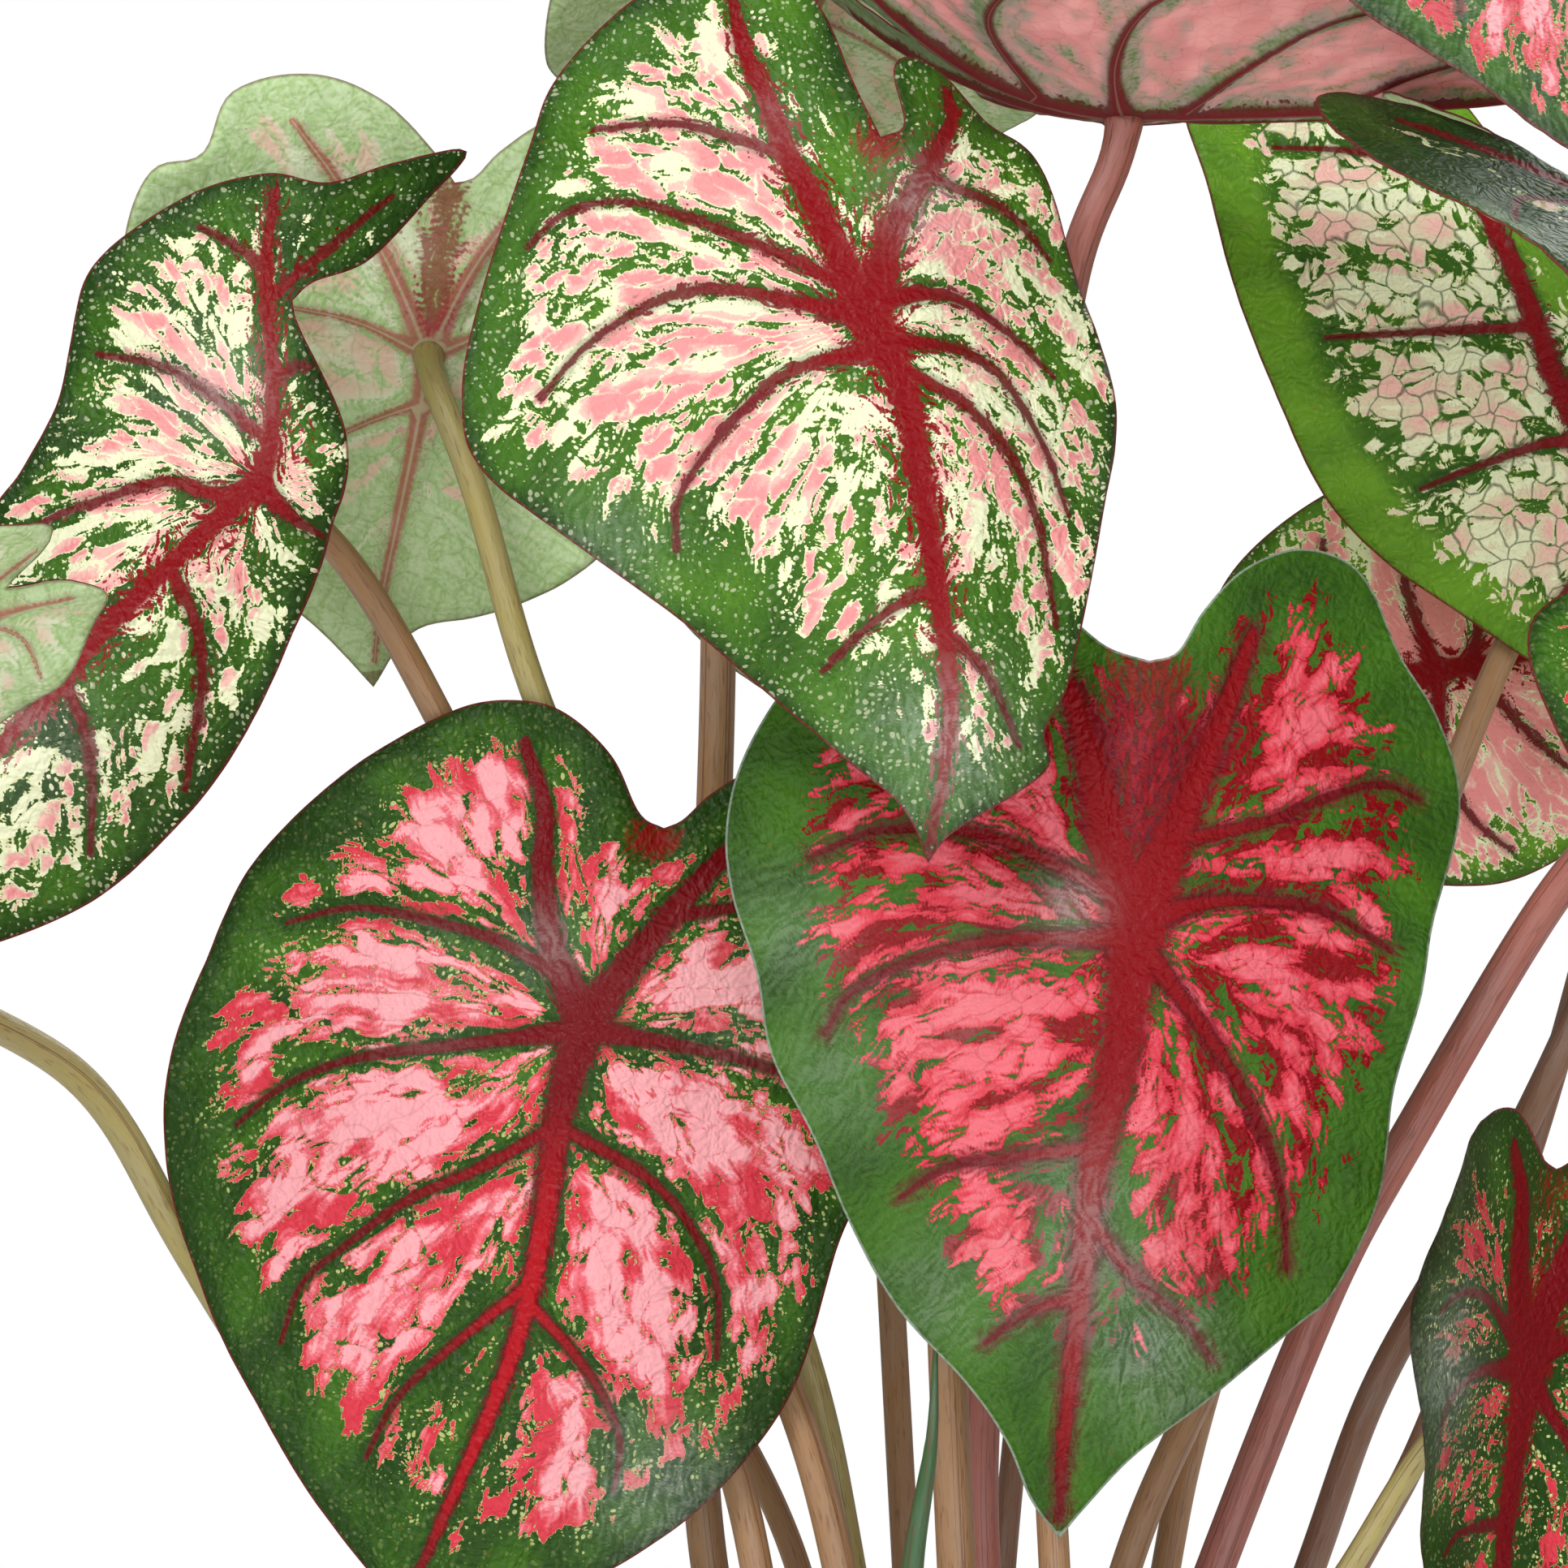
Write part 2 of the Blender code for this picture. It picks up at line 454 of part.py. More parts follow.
def blade_mesh(name, leaf):
    """Build a blade as a sheet of triangles that follow its margin and ribs."""
    margin, midrib, ribs = blade_lines(leaf, MARGIN_STEP)
    corners = [Vector(point) for point in margin]
    rim = len(corners)
    edges = []
    corners.append(Vector((0, 0)))
    for step in range(PAD_SIDES):
        turn = 2 * math.pi * step / PAD_SIDES
        corners.append(Vector((PAD_RADIUS * math.cos(turn), PAD_RADIUS * math.sin(turn))))
    for path in [midrib] + ribs:
        inside = [point for point in path if np.hypot(*point) > PAD_CLEARANCE
                  and distance_to_path(point[None], margin)[0] > RIB_END_CLEARANCE]
        first = len(corners)
        corners += [Vector(point) for point in inside]
        edges += [(i, i + 1) for i in range(first, len(corners) - 1)]
    low, high = margin.min(axis=0), margin.max(axis=0)
    lines = [np.vstack([margin, margin[:1]]), midrib] + ribs
    rows = np.arange(low[1], high[1], FILL_STEP * math.sqrt(3) / 2)
    for row, y in enumerate(rows):
        for x in np.arange(low[0] + (row % 2) * FILL_STEP / 2, high[0], FILL_STEP):
            spot = np.array([[x, y]])
            if min(distance_to_path(spot, line)[0] for line in lines) > FILL_CLEARANCE:
                corners.append(Vector((x, y)))
    found = delaunay_2d_cdt(corners, edges, [list(range(rim))], INSIDE_FACES, MERGE_DISTANCE)
    flat = np.array([tuple(point) for point in found[0]])
    height = blade_height(flat, leaf, margin, midrib, ribs)
    mesh = bpy.data.meshes.new(name)
    mesh.from_pydata(np.column_stack([flat, height]).tolist(), [], [list(face) for face in found[2]])
    shape = bmesh.new()
    shape.from_mesh(mesh)
    bmesh.ops.recalc_face_normals(shape, faces=shape.faces)
    if sum(face.normal.z for face in shape.faces) < 0:
        bmesh.ops.reverse_faces(shape, faces=shape.faces)
    shape.to_mesh(mesh)
    shape.free()
    return mesh


def add_blade(name, leaf, collection, surface):
    """Add a blade: the sheet, thickened away from its upper face."""
    mesh = blade_mesh("blade_" + name, leaf)
    mesh.shade_smooth()
    blade = add_object("blade_" + name, mesh, collection, surface)
    blade.matrix_world = leaf_matrix(leaf)
    thick = blade.modifiers.new("thickness", "SOLIDIFY")
    thick.thickness = BLADE_THICKNESS
    thick.offset = -1
    return blade


def tuber_height(x, y):
    """Give the level of the tuber's upper surface."""
    rest = 1 - (x / TUBER_RADII.x) ** 2 - (y / TUBER_RADII.y) ** 2
    return TUBER_CENTRE.z + TUBER_RADII.z * math.sqrt(rest)


def foot_point(foot, bend, radius):
    """Give the lowest centre point of a stem that stands on the tuber and leans towards its first bend."""
    collar = Vector((foot[0] * MM, foot[1] * MM, COLLAR_LEVEL))
    rise = Vector(bend) * MM - collar
    lean = Vector((FOOT_LEAN * rise.x, FOOT_LEAN * rise.y, rise.z)).normalized()
    across = lean.orthogonal().normalized()
    over = lean.cross(across)
    base = collar - lean * ((COLLAR_LEVEL - tuber_height(collar.x, collar.y)) / lean.z)
    lift = 0
    for step in range(FOOT_CHECKS):
        turn = 2 * math.pi * step / FOOT_CHECKS
        spot = base + radius * (math.cos(turn) * across + math.sin(turn) * over)
        lift = max(lift, tuber_height(spot.x, spot.y) - spot.z)
    return base + lean * ((lift + CONTACT_GAP) / lean.z), collar


def petiole_path(leaf):
    """Give the middle line of a petiole from the tuber to the underside of its blade."""
    radius = leaf["radius"] * MM
    low, collar = foot_point(leaf["foot"], leaf["bends"][0], radius)
    facing = leaf_matrix(leaf).to_3x3() @ Vector((0, 0, 1))
    joint = Vector(leaf["joint"]) * MM - facing * (BLADE_THICKNESS + CONTACT_GAP)
    neck = joint - facing * NECK_LENGTH
    seat = joint - facing * SEAT_LENGTH
    route = [collar] + [Vector(bend) * MM for bend in leaf["bends"]] + [neck, seat]
    upper = smooth_path([tuple(point) for point in route], 1 * MM)
    places = (1 - np.linspace(1, 0, PETIOLE_POINTS - 2) ** END_CROWDING) * (len(upper) - 1)
    return [low] + [Vector(upper[int(round(place))]) for place in places] + [joint]


def add_tube(name, path, radii, resolution, collection, surface):
    """Add a tapered tube along a path as a curve with filled caps."""
    curve = bpy.data.curves.new(name, "CURVE")
    curve.dimensions = "3D"
    curve.bevel_depth = 1 * MM
    curve.bevel_resolution = resolution
    curve.use_fill_caps = True
    line = curve.splines.new("POLY")
    line.points.add(len(path) - 1)
    for point, place, radius in zip(line.points, path, radii):
        point.co = (*place, 1)
        point.radius = radius / MM
    tube = bpy.data.objects.new(name, curve)
    collection.objects.link(tube)
    curve.materials.append(surface)
    return tube


def add_petiole(name, leaf, collection, surface):
    """Add a petiole that thins towards its blade."""
    path = petiole_path(leaf)
    radii = np.linspace(1, TOP_TAPER, len(path)) * leaf["radius"] * MM
    return add_tube("petiole_" + name, path, radii, PETIOLE_RESOLUTION, collection, surface)


def add_stem_cutter(foot, bend, radius, cutters):
    """Add the cutter of the plain hole that a stem stands in."""
    low, collar = foot_point(foot, bend, radius)
    lean = (collar - low).normalized()
    start = low - lean * HOLE_BELOW
    end = collar + lean * HOLE_ABOVE
    wide = radius + STEM_CLEARANCE
    bpy.ops.mesh.primitive_cylinder_add(vertices=HOLE_SIDES, radius=wide, depth=(end - start).length)
    cutter = bpy.context.object
    upright = lean.to_track_quat("Z", "Y").to_matrix().to_4x4()
    cutter.matrix_world = Matrix.Translation((start + end) / 2) @ upright
    bpy.context.collection.objects.unlink(cutter)
    cutters.objects.link(cutter)
    return as_cutter(cutter)


def add_ellipsoid(name, radii, collection, surface=None):
    """Add the tuber's rounded body, or one a little larger as a cutter."""
    bpy.ops.mesh.primitive_uv_sphere_add(segments=20, ring_count=10, radius=1, location=TUBER_CENTRE)
    body = bpy.context.object
    body.name = name
    body.scale = radii
    bpy.context.collection.objects.unlink(body)
    collection.objects.link(body)
    body.data.shade_smooth()
    if surface:
        body.data.materials.append(surface)
    return body


def add_turned(name, profile, collection, surface):
    """Add a solid turned from a profile that runs down its outer side."""
    mesh = bpy.data.meshes.new(name)
    edges = [(i, i + 1) for i in range(len(profile) - 1)]
    mesh.from_pydata([(x, 0, z) for x, z in profile], edges, [])
    turned = add_object(name, mesh, collection, surface)
    screw = turned.modifiers.new("turn", "SCREW")
    screw.steps = POT_SIDES
    screw.render_steps = POT_SIDES
    screw.use_merge_vertices = True
    screw.merge_threshold = 0.01 * MM
    return turned


def pot_radius(level):
    """Give the pot's outer radius at a level, without its rim."""
    return POT_FOOT_RADIUS + (POT_TOP_RADIUS - RIM_STEP - POT_FOOT_RADIUS) * level / POT_HEIGHT


def cut(item, cutters):
    """Cut an object by every object of a collection."""
    hole = item.modifiers.new("holes", "BOOLEAN")
    hole.operation = "DIFFERENCE"
    hole.solver = "EXACT"
    hole.operand_type = "COLLECTION"
    hole.collection = cutters


def add_pot(collection, cutters, surface):
    """Add the pot: a turned wall and floor with a rim band and drain holes off its centre."""
    rim_foot = POT_HEIGHT - RIM_HEIGHT
    profile = [
        (0, POT_FLOOR),
        (pot_radius(POT_FLOOR) - POT_WALL, POT_FLOOR),
        (pot_radius(POT_HEIGHT) - POT_WALL, POT_HEIGHT - 1 * MM),
        (pot_radius(POT_HEIGHT) - POT_WALL + 1.2 * MM, POT_HEIGHT),
        (POT_TOP_RADIUS - 1.5 * MM, POT_HEIGHT),
        (POT_TOP_RADIUS, POT_HEIGHT - 1.5 * MM),
        (pot_radius(rim_foot) + RIM_STEP, rim_foot),
        (pot_radius(rim_foot), rim_foot - 1.5 * MM),
        (pot_radius(2 * MM), 2 * MM),
        (POT_FOOT_RADIUS - 2 * MM, 0),
        (0, 0),
    ]
    pot = add_turned("pot", profile, collection, surface)
    holes = bpy.data.collections.new("drain_cutters")
    cutters.children.link(holes)
    for step in range(DRAIN_COUNT):
        turn = 2 * math.pi * (step + 0.5) / DRAIN_COUNT
        place = (DRAIN_CIRCLE * math.cos(turn), DRAIN_CIRCLE * math.sin(turn), POT_FLOOR / 2)
        bpy.ops.mesh.primitive_cylinder_add(
            vertices=16, radius=DRAIN_RADIUS, depth=3 * POT_FLOOR, location=place)
        cutter = as_cutter(bpy.context.object)
        bpy.context.collection.objects.unlink(cutter)
        holes.objects.link(cutter)
    cut(pot, holes)
    return pot


def add_soil(collection, cutters, surface):
    """Add the soil: it fills the pot and leaves room for the tuber and a plain hole for each stem."""
    low = POT_FLOOR + CONTACT_GAP
    inner = -POT_WALL - 1.5 * CONTACT_GAP
    profile = [
        (0, SOIL_LEVEL + SOIL_CROWN),
        (0.35 * POT_TOP_RADIUS, SOIL_LEVEL + 0.9 * SOIL_CROWN),
        (0.7 * POT_TOP_RADIUS, SOIL_LEVEL + 0.4 * SOIL_CROWN),
        (pot_radius(SOIL_LEVEL) + inner, SOIL_LEVEL),
        (pot_radius(low) + inner, low),
        (0, low),
    ]
    soil = add_turned("soil", profile, collection, surface)
    holes = bpy.data.collections.new("soil_cutters")
    cutters.children.link(holes)
    roomy = TUBER_RADII + Vector((1, 1, 1)) * 1.5 * CONTACT_GAP
    as_cutter(add_ellipsoid("tuber_room", roomy, holes))
    for leaf in LEAVES.values():
        add_stem_cutter(leaf["foot"], leaf["bends"][0], leaf["radius"] * MM, holes)
    add_stem_cutter(NEW_LEAF_PATH[0][:2], NEW_LEAF_PATH[1], NEW_LEAF_RADII[1] * MM, holes)
    cut(soil, holes)
    return soil


def add_new_leaf(collection, surface):
    """Add the rolled new leaf, a tapering spike in a hole of its own."""
    low, collar = foot_point(NEW_LEAF_PATH[0][:2], NEW_LEAF_PATH[1], NEW_LEAF_RADII[0] * MM)
    route = [tuple(collar)] + [tuple(Vector(point) * MM) for point in NEW_LEAF_PATH[1:]]
    upper = smooth_path(route, NEW_LEAF_STEP)
    shares = np.linspace(0, 1, len(upper))
    radii = np.interp(shares, np.linspace(0, 1, len(NEW_LEAF_RADII)), NEW_LEAF_RADII) * MM
    path = [low] + [Vector(point) for point in upper]
    return add_tube("new_leaf", path, [radii[0]] + list(radii), PETIOLE_RESOLUTION, collection, surface)


def main():
    collection, cutters = set_up()
    blade_surfaces = {name: material("blade_" + name, colour, 0.45) for name, colour in BLADE_COLOURS.items()}
    petiole_surface = material("petiole", PETIOLE_COLOUR, 0.5)
    for name, leaf in LEAVES.items():
        add_blade(name, leaf, collection, blade_surfaces[leaf["colouring"]])
        add_petiole(name, leaf, collection, petiole_surface)
    add_new_leaf(collection, material("new_leaf", NEW_LEAF_COLOUR, 0.45))
    add_soil(collection, cutters, material("soil", SOIL_COLOUR, 0.95))
    add_ellipsoid("tuber", TUBER_RADII, collection, material("tuber", TUBER_COLOUR, 0.9))
    add_pot(collection, cutters, material("terracotta", POT_COLOUR, 0.8))


main()
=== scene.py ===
"""Dresses a potted caladium: variegated blades with raised ribs, streaked stalks, soil and a clay pot.

Metres, +Z up. The origin is the middle of the pot's underside, and -Y is the side that faces the viewer.
"""

import math
import random
from types import SimpleNamespace

import bmesh
import bpy
import numpy as np
from bpy.props import FloatProperty, FloatVectorProperty, IntProperty, PointerProperty
from mathutils import Matrix, Vector, noise
from mathutils.geometry import delaunay_2d_cdt


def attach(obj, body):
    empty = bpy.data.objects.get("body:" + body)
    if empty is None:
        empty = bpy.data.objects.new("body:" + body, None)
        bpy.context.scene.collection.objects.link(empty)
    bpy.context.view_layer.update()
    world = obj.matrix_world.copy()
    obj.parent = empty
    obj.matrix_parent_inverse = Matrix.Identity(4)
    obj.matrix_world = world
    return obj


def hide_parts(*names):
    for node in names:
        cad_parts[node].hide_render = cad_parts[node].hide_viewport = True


bl_info = {
    "name": "Potted Caladium",
    "version": (1, 0, 0),
    "blender": (4, 5, 0),
    "location": "3D View > Sidebar > Caladium",
    "description": "Builds the leaves, stalks, soil and pot of a caladium around its frame",
    "category": "Add Mesh",
}

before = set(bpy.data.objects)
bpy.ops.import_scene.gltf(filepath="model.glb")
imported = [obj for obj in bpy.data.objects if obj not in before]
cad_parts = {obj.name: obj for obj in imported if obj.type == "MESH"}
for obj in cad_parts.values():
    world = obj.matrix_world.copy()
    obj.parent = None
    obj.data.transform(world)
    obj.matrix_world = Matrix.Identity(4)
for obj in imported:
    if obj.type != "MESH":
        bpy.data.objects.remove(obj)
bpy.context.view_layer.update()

MM = 0.001
CM = 0.01
PLANT_BODY = "root"

# Measures that the frame was built with
TUBER_CENTRE = Vector((0, 0, 97 * MM))
TUBER_RADII = Vector((62 * MM, 50 * MM, 17 * MM))
PAD_REACH = 12 * MM
TIP_REACH = 110
LOBE_REACH = 70
WAVE_START = 30
JOINT_DEPTH = 0.9 * MM
NECK_LENGTH = 10 * MM
SEAT_LENGTH = 3 * MM
COLLAR_LEVEL = 134 * MM
FOOT_DEPTH = 1 * MM
FOOT_LEAN = 0.4
TOP_TAPER = 0.8
TAPER_STEPS = 11
END_CROWDING = 1.7
RELAXING = 14
NECK_FLARE = 0.35
NECK_REACH = 3.5 * MM

# How the paths and the blades' meshes are laid out: the points in a span of a path, how many steps a rib's
# points stay clear of the margin and all others of every line, where points merge, and how many are measured
# at a time
SPAN_POINTS = 12
RIB_CLEARANCE = 1.2
POINT_CLEARANCE = 0.6
MERGE_DISTANCE = 0.05 * MM
SHORTEST_RUN = 1e-14
BLOCK_POINTS = 512

# Ribs that start nearer the joint than HUB_REACH start at the stalk, and those that also end higher than
# LOBE_LEVEL run up into a lobe. The kinds of rib differ in how they fray and taper and in how wide they are,
# and all of them are narrower on a small blade.
HUB_REACH = 6 * MM
LOBE_LEVEL = 25 * MM
THICK_RIB = (1.0, 0.8)
THIN_RIB = (0.3, 1.1)
MIDRIB_END = 0.45 * MM
LOBE_RIB_END = 0.9 * MM
SIDE_RIB_END = 0.35 * MM
LOBE_SWELL = 1.3
HUB_SIDE_RIB = 0.7
RIB_SHRINK = 0.55

# The red patch where the ribs meet, and how far the ribs flare towards it
HUB_RADIUS = 3.4 * MM
HUB_HALF = 3 * MM
HUB_FLARE = 1.5 * MM
FLARE_REACH = 9 * MM

# How much less a rib frays at its end, and how closely the streaks follow the nearest side rib
FRAY_LOSS = 0.75
MIDRIB_PULL = 0.15
FLOW_ROUNDING = 2 * MM

# How far a rib stands out below the blade and how wide its round back is, how the blade thins towards its
# margin, and how far from a rib its puckers start
RIB_HEIGHT = 1.7 * MM
ROUND_SHARE = 1.2
ROUND_REACH = 0.5 * MM
RIB_FADE = 4 * MM
EDGE_LOSS = 0.45
THIN_REACH = 2 * MM
PUCKER_START = 3 * MM
FINE_SHARE = 0.5

# The slopes of the soft noise, how far apart its seeds lie, and the steps and weights that draw it out along
# the ribs
SLOPE_ROWS = 256
SLOPES = np.random.default_rng(11).uniform(0, 2 * math.pi, (SLOPE_ROWS, SLOPE_ROWS))
SEED_STEPS = (37.7, 91.3)
SOFT_CONTRAST = 1.4
SMEAR = [(-1, 0.7), (-0.5, 1), (0, 1.2), (0.5, 1), (1, 0.7)]
SMEAR_CONTRAST = 2.6 / 4.6

# Noises drawn out along the ribs (size, reach, seed) and even ones (size, seed), in millimetres on a blade
BROAD_STREAKS = (8, 7, 0)
FINE_STREAKS = (3.2, 3, 20)
BLUSH_CLOUDS = (7, 5, 60)
GROUND_CLOUDS = (12, 6, 100)
PUCKERS = (8, 0)
FINE_PUCKERS = (3.6, 40)
WARPS = [(5, 80), (5, 120)]

# How steeply the paint falls in the border and rises to the middle of a panel, and how the green varies
BORDER_SLOPE = 3.4
PANEL_EASE = 1.6
PAINT_RISE = 0.8
BLUSH_RISE = 0.8
CORE_START = 4 * MM
CORE_RISE = 8 * MM
PLAIN_GROUND = 0.35
GROUND_RISE = 0.16

# The pattern of cells: how far apart the blades lie in it, how long a cell is and how far it slants, and how
# many there are round a blade
PLANE_SHIFT = 31
PATCH_LENGTH = 1.7
PATCH_SLANT = 0.3
PATCH_TURNS = 3.4

# Blade shapes, seen face on in millimetres from the stalk's joint: x right, y up, tip at the bottom.
# "right" runs from the notch to the tip, and "left" from the tip to the notch.
BROAD = {
    "right": [(3, 38), (8, 41), (6, 52), (9, 56), (17, 54), (27, 46), (38, 39), (46, 19), (54, -6),
              (55, -20), (51, -37), (43, -72), (37, -84), (38, -91), (30, -98), (16, -107), (11, -113)],
    "left": [(11, -113), (6, -102), (-5, -92), (-28, -72), (-58, -48), (-80, -31), (-84, -15), (-80, 6),
             (-70, 36), (-64, 52), (-50, 67), (-32, 77), (-17, 76), (-8, 66), (-2, 50), (3, 38)],
    "midrib": [(0, 0), (7, -15), (11, -38), (14, -60), (16, -78), (14, -97), (11, -110)],
    "ribs": [
        [(0, 0), (-10, 22), (-16, 34), (-20, 46), (-25, 58), (-27, 69)],
        [(0, 0), (5, 17), (13, 32), (19, 44), (18, 50)],
        [(-16, 34), (-26, 38), (-40, 42), (-56, 41)],
        [(-7, 8), (-28, 18), (-48, 25), (-62, 23), (-70, 16)],
        [(0, 0), (-14, 3), (-28, 6), (-41, 5), (-57, -4), (-68, -16)],
        [(2, -7), (-16, -11), (-28, -21), (-39, -36), (-40, -48)],
        [(3, 4), (18, 6), (30, 1), (41, -8)],
        [(5, -5), (25, -7), (37, -22), (43, -38)],
        [(6, -10), (25, -21), (35, -37), (40, -62)],
        [(13, 32), (19, 30), (30, 27), (41, 18)],
        [(13, -56), (2, -62), (-10, -73)],
        [(15, -66), (24, -74), (31, -88)],
    ],
}
ROUND = {
    "right": [(15, 41), (19, 43), (25, 49), (34, 54), (46, 54), (57, 44), (65, 27), (67, 4), (64, -16),
              (57, -34), (52, -46), (45, -70), (38, -84), (26, -99), (14, -109), (0, -117), (-20, -122),
              (-37, -124)],
    "left": [(-37, -124), (-48, -112), (-59, -98), (-69, -82), (-78, -67), (-84, -54), (-90, -38),
             (-92, -21), (-90, -5), (-84, 12), (-76, 31), (-62, 46), (-45, 59), (-29, 67), (-16, 68),
             (-6, 65), (4, 56), (10, 44), (15, 41)],
    "midrib": [(0, 0), (-5, -18), (-9, -47), (-15, -71), (-25, -95), (-33, -113), (-37, -122)],
    "ribs": [
        [(0, 0), (-7, 14), (-10, 31), (-10, 45), (-15, 59)],
        [(0, 0), (12, 16), (22, 29), (32, 39), (43, 47)],
        [(-5, 9), (-20, 17), (-38, 22), (-52, 24), (-66, 21)],
        [(0, -2), (-26, -5), (-50, -8), (-66, -14), (-76, -22)],
        [(-6, -22), (-20, -30), (-38, -38), (-52, -48), (-61, -56), (-65, -68)],
        [(-12, -56), (-26, -67), (-39, -79), (-46, -92)],
        [(0, -2), (20, -5), (34, -8), (58, -16)],
        [(-6, -22), (12, -32), (22, -43), (27, -55), (27, -70)],
        [(-12, -58), (0, -72), (7, -86), (6, -98)],
        [(17, 22), (34, 25), (54, 25)],
    ],
}
LONG = {
    "right": [(3, 54), (9, 56), (15, 65), (24, 74), (36, 79), (47, 77), (53, 70), (58, 57), (66, 44),
              (71, 30), (70, 18), (64, 0), (61, -16), (56, -33), (54, -46), (51, -59), (42, -76),
              (34, -83), (15, -98), (-1, -109), (-12, -120), (-17, -126)],
    "left": [(-17, -126), (-23, -118), (-28, -106), (-36, -94), (-50, -78), (-60, -60), (-67, -43),
             (-75, -26), (-78, -9), (-83, 7), (-84, 21), (-80, 36), (-70, 52), (-55, 66), (-38, 73),
             (-24, 72), (-12, 63), (-5, 57), (3, 54)],
    "midrib": [(0, 0), (-4, -26), (-10, -53), (-13, -80), (-16, -106), (-17, -122)],
    "ribs": [
        [(0, 0), (6, 14), (12, 28), (20, 46), (26, 61)],
        [(0, 0), (-5, 14), (-8, 28), (-13, 48), (-24, 62)],
        [(7, 17), (27, 21), (40, 26), (53, 30), (62, 27)],
        [(0, 0), (13, 4), (27, 5), (41, 3), (55, -5)],
        [(0, -4), (17, -26), (27, -43), (31, -57), (32, -71)],
        [(0, 3), (-20, 14), (-33, 19), (-52, 20), (-66, 15)],
        [(0, -3), (-14, -3), (-27, -3), (-43, -6), (-58, -13), (-64, -22)],
        [(-9, -46), (-27, -48), (-40, -50), (-49, -56)],
        [(-11, -60), (-2, -72), (10, -82), (16, -90)],
        [(-12, -76), (-24, -80), (-32, -86)],
    ],
}
SWEPT = {
    "right": [(6, 37), (7, 33), (12, 22), (17, 10), (17, 0), (13, -11), (7, -26), (-4, -47), (-17, -65),
              (-34, -82), (-49, -91), (-66, -97), (-83, -99), (-97, -98)],
    "left": [(-97, -98), (-94, -82), (-86, -62), (-76, -40), (-66, -20), (-57, -5), (-51, 3), (-45, 15),
             (-42, 29), (-38, 43), (-28, 53), (-15, 61), (0, 64), (12, 62), (24, 67), (38, 71), (31, 60),
             (20, 46), (10, 41), (6, 37)],
    "midrib": [(0, 0), (-16, -15), (-32, -31), (-44, -45), (-56, -57), (-92, -94)],
    "ribs": [
        [(0, 0), (2, 8), (2, 23), (0, 42), (1, 60)],
        [(1, 43), (-7, 49), (-15, 53)],
        [(-1, 10), (-11, 18), (-22, 24), (-36, 27)],
        [(0, 0), (-8, -3), (-20, 0), (-32, -3), (-44, -7), (-58, -14)],
        [(-18, -18), (-14, -29), (-14, -42), (-19, -62)],
        [(-30, -30), (-44, -28), (-60, -32), (-74, -42)],
        [(-40, -40), (-36, -56), (-38, -76)],
        [(1, -2), (6, -7), (12, -11)],
        [(2, 20), (8, 24), (11, 21)],
        [(2, 38), (12, 48), (24, 60)],
    ],
}
SMALL = {
    "right": [(-6, 36), (-1, 44), (9, 54), (23, 59), (38, 56), (44, 44), (54, 41), (60, 28), (62, 8),
              (58, -14), (50, -30), (36, -46), (25, -56), (18, -64), (13, -70)],
    "left": [(13, -70), (5, -59), (-8, -55), (-20, -50), (-33, -42), (-48, -26), (-58, -6), (-60, 14),
             (-54, 32), (-42, 46), (-28, 50), (-16, 43), (-10, 37), (-6, 36)],
    "midrib": [(0, 0), (3, -16), (7, -34), (11, -52), (13, -68)],
    "ribs": [
        [(0, 0), (8, 20), (18, 38), (26, 50)],
        [(0, 0), (-8, 16), (-18, 30), (-30, 42)],
        [(0, 0), (16, 8), (34, 12), (50, 12)],
        [(0, 0), (-16, 6), (-34, 8), (-50, 8)],
        [(2, -10), (18, -16), (34, -26), (40, -36)],
        [(2, -10), (-14, -18), (-28, -28), (-38, -34)],
    ],
}
WIDE = {
    "right": [(2, 42), (10, 46), (26, 60), (46, 68), (66, 64), (82, 50), (90, 30), (90, 8), (84, -16),
              (74, -40), (62, -62), (52, -78), (44, -88)],
    "left": [(44, -88), (30, -74), (10, -58), (-8, -46), (-23, -37), (-37, -28), (-50, -18), (-64, -2),
             (-75, 22), (-82, 44), (-86, 69), (-89, 83), (-90, 97), (-82, 108), (-68, 114), (-50, 110),
             (-35, 97), (-24, 80), (-14, 62), (-5, 47), (2, 42)],
    "midrib": [(0, 0), (12, -24), (26, -52), (42, -84)],
    "ribs": [
        [(0, 0), (-11, 20), (-15, 34), (-22, 54), (-34, 80), (-48, 98)],
        [(-15, 34), (-42, 33), (-62, 32)],
        [(0, 0), (-10, 8), (-26, 4), (-42, -2)],
        [(-27, 66), (-48, 74), (-70, 76)],
        [(4, -8), (-8, -22), (-16, -34)],
        [(0, 0), (14, 22), (38, 46), (54, 56)],
        [(0, 0), (30, 6), (60, 4), (74, 0)],
        [(6, -12), (34, -18), (62, -34)],
        [(16, -32), (36, -46), (50, -58)],
    ],
}


